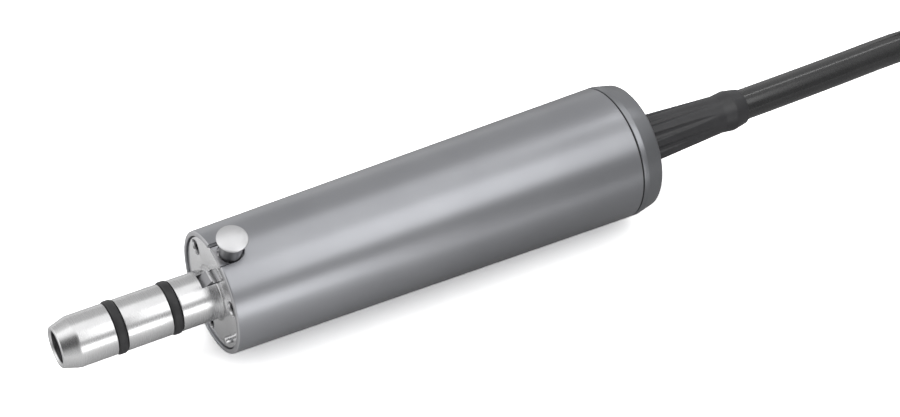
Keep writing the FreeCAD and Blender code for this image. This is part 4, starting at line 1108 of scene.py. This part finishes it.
FLOOR_REACH, FLOOR_LEVEL = 4.0, -0.011
# Whiteness of the floor that the metal mirrors: a painted shadow close to the motor, plain white away
# from it
PAINTED_SHADOW_TONE, FAR_TONE = 0.37, 0.92
NEAR_REACH, FAR_REACH = -0.02, 0.06
REAR_PULL = -0.7
# Whiteness of the floor that the camera sees
PAPER = 2.45
# Brightness of the room, of its dim side, and the share kept behind the flag above the nose
SKY = 0.62
DIM_SKY = 0.28
FLAG_SHARE = 0.15
# Extra brightness ahead of the nose
NOSE_GLOW = 0.85
# Directions of these, each with the cosines where it begins and where it is full
DIM_SIDE, DIM_EDGES = (0.8, -0.6, -0.1), (0.55, 0.85)
FLAG_SIDE, FLAG_EDGES = (-0.45, -0.45, 0.77), (0.75, 0.93)
GLOW_SIDE, GLOW_EDGES = (-0.85, 0.3, 0.43), (0.6, 0.95)


def painted_floor_shadow(tree):
    """What the metal sees of the floor: a painted shadow, darker close to the motor and towards its
    rear.
    """
    where = add(tree, "ShaderNodeTexCoord")
    parts = add(tree, "ShaderNodeSeparateXYZ")
    tree.links.new(where.outputs["Object"], parts.inputs[0])
    aside = add(tree, "ShaderNodeMath", operation="ABSOLUTE")
    tree.links.new(parts.outputs["Y"], aside.inputs[0])
    away = add(tree, "ShaderNodeMath", operation="MULTIPLY_ADD")
    away.inputs[1].default_value = REAR_PULL
    tree.links.new(parts.outputs["X"], away.inputs[0])
    tree.links.new(aside.outputs[0], away.inputs[2])
    return between(tree, away.outputs[0], PAINTED_SHADOW_TONE, FAR_TONE, NEAR_REACH, FAR_REACH)


def floor():
    """Pale floor that keeps the shadow, with a painted shadow near the motor in what the metal mirrors.
    The camera sees it as paper white.
    """
    mesh = bpy.data.meshes.new("floor")
    reach, level = FLOOR_REACH, FLOOR_LEVEL
    mesh.from_pydata(
        [(-reach, -reach, level), (reach, -reach, level), (reach, reach, level), (-reach, reach, level)],
        [], [(0, 1, 2, 3)],
    )
    plane = new_object("floor", mesh)
    material = bpy.data.materials.new("pale_floor")
    material.use_nodes = True
    tree = material.node_tree
    tree.nodes.clear()
    light_path = tree.nodes.new("ShaderNodeLightPath")
    # Colour for every ray but the camera's: the painted shadow near the motor
    plain = add(tree, "ShaderNodeBsdfDiffuse")
    tree.links.new(painted_floor_shadow(tree), plain.inputs["Color"])
    shown = add(tree, "ShaderNodeBsdfDiffuse")
    shown.inputs["Color"].default_value = (PAPER, PAPER, PAPER, 1)
    mix = add(tree, "ShaderNodeMixShader")
    output = add(tree, "ShaderNodeOutputMaterial")
    tree.links.new(light_path.outputs["Is Camera Ray"], mix.inputs[0])
    tree.links.new(plain.outputs[0], mix.inputs[1])
    tree.links.new(shown.outputs[0], mix.inputs[2])
    tree.links.new(mix.outputs[0], output.inputs["Surface"])
    mesh.materials.append(material)


def sky():
    """Even grey room with a dim side, a flag and a glow. The camera sees it white."""
    world = bpy.data.worlds.new("studio")
    world.use_nodes = True
    bpy.context.scene.world = world
    tree = world.node_tree
    back = tree.nodes["Background"]
    back.inputs["Color"].default_value = (1, 1, 1, 1)
    where = add(tree, "ShaderNodeTexCoord").outputs["Generated"]
    dimmed = between(tree, nearness(tree, where, DIM_SIDE), SKY, DIM_SKY, *DIM_EDGES)
    flag = between(tree, nearness(tree, where, FLAG_SIDE), 1.0, FLAG_SHARE, *FLAG_EDGES)
    glow = between(tree, nearness(tree, where, GLOW_SIDE), 0.0, NOSE_GLOW, *GLOW_EDGES)
    strength = maths(tree, "MULTIPLY_ADD", dimmed, flag, glow)
    seen = add(tree, "ShaderNodeLightPath").outputs["Is Camera Ray"]
    lift = maths(tree, "MULTIPLY", seen, maths(tree, "SUBTRACT", 1.0, strength))
    tree.links.new(maths(tree, "ADD", strength, lift), back.inputs["Strength"])


def nearness(tree, where, side):
    """Cosine between the looked-at direction and a side of the room."""
    node = add(tree, "ShaderNodeVectorMath", operation="DOT_PRODUCT")
    node.inputs[1].default_value = side
    tree.links.new(where, node.inputs[0])
    return node.outputs["Value"]


def soft_box(name, lean, distance, along, wide, long, brightness):
    """Lamp that faces the motor's axis: lean from +Z towards -Y in degrees, place along X, size."""
    lamp = bpy.data.lights.new(name, "AREA")
    lamp.shape = "RECTANGLE"
    lamp.size = long
    lamp.size_y = wide
    lamp.energy = brightness * 4 * wide * long
    box = bpy.data.objects.new(name, lamp)
    turn = math.radians(lean)
    box.location = (along, -distance * math.sin(turn), distance * math.cos(turn))
    box.rotation_euler = (turn, 0, 0)
    box.visible_camera = False
    bpy.context.scene.collection.objects.link(box)


bpy.context.scene.view_settings.view_transform = "Standard"
photo_camera()
sky()
floor()
soft_box("top_light", lean=26, distance=0.8, along=0.4, wide=0.52, long=0.5, brightness=1.4)
soft_box("back_light", lean=-13, distance=0.6, along=0.06, wide=0.5, long=0.72, brightness=0.6)
soft_box("cable_light", lean=-23, distance=0.6, along=0.6, wide=0.06, long=0.3, brightness=3.0)
soft_box("front_light", lean=89, distance=0.6, along=0.13, wide=0.46, long=0.22, brightness=2.05)

cable, cable_length = supply_cable()
motor_housing()
rear_cap()
front_plate()
nose_spigot()
seal_rings()
latch_and_slider()
release_button()
strain_relief_boot()
plate_screws()
index_pin()
plug_pieces = [
    hank_strap(), plug_boot(), plug_shell(), plug_sleeve(), plug_grip(), *plug_nose(), plug_contacts(),
]
finish_carried()
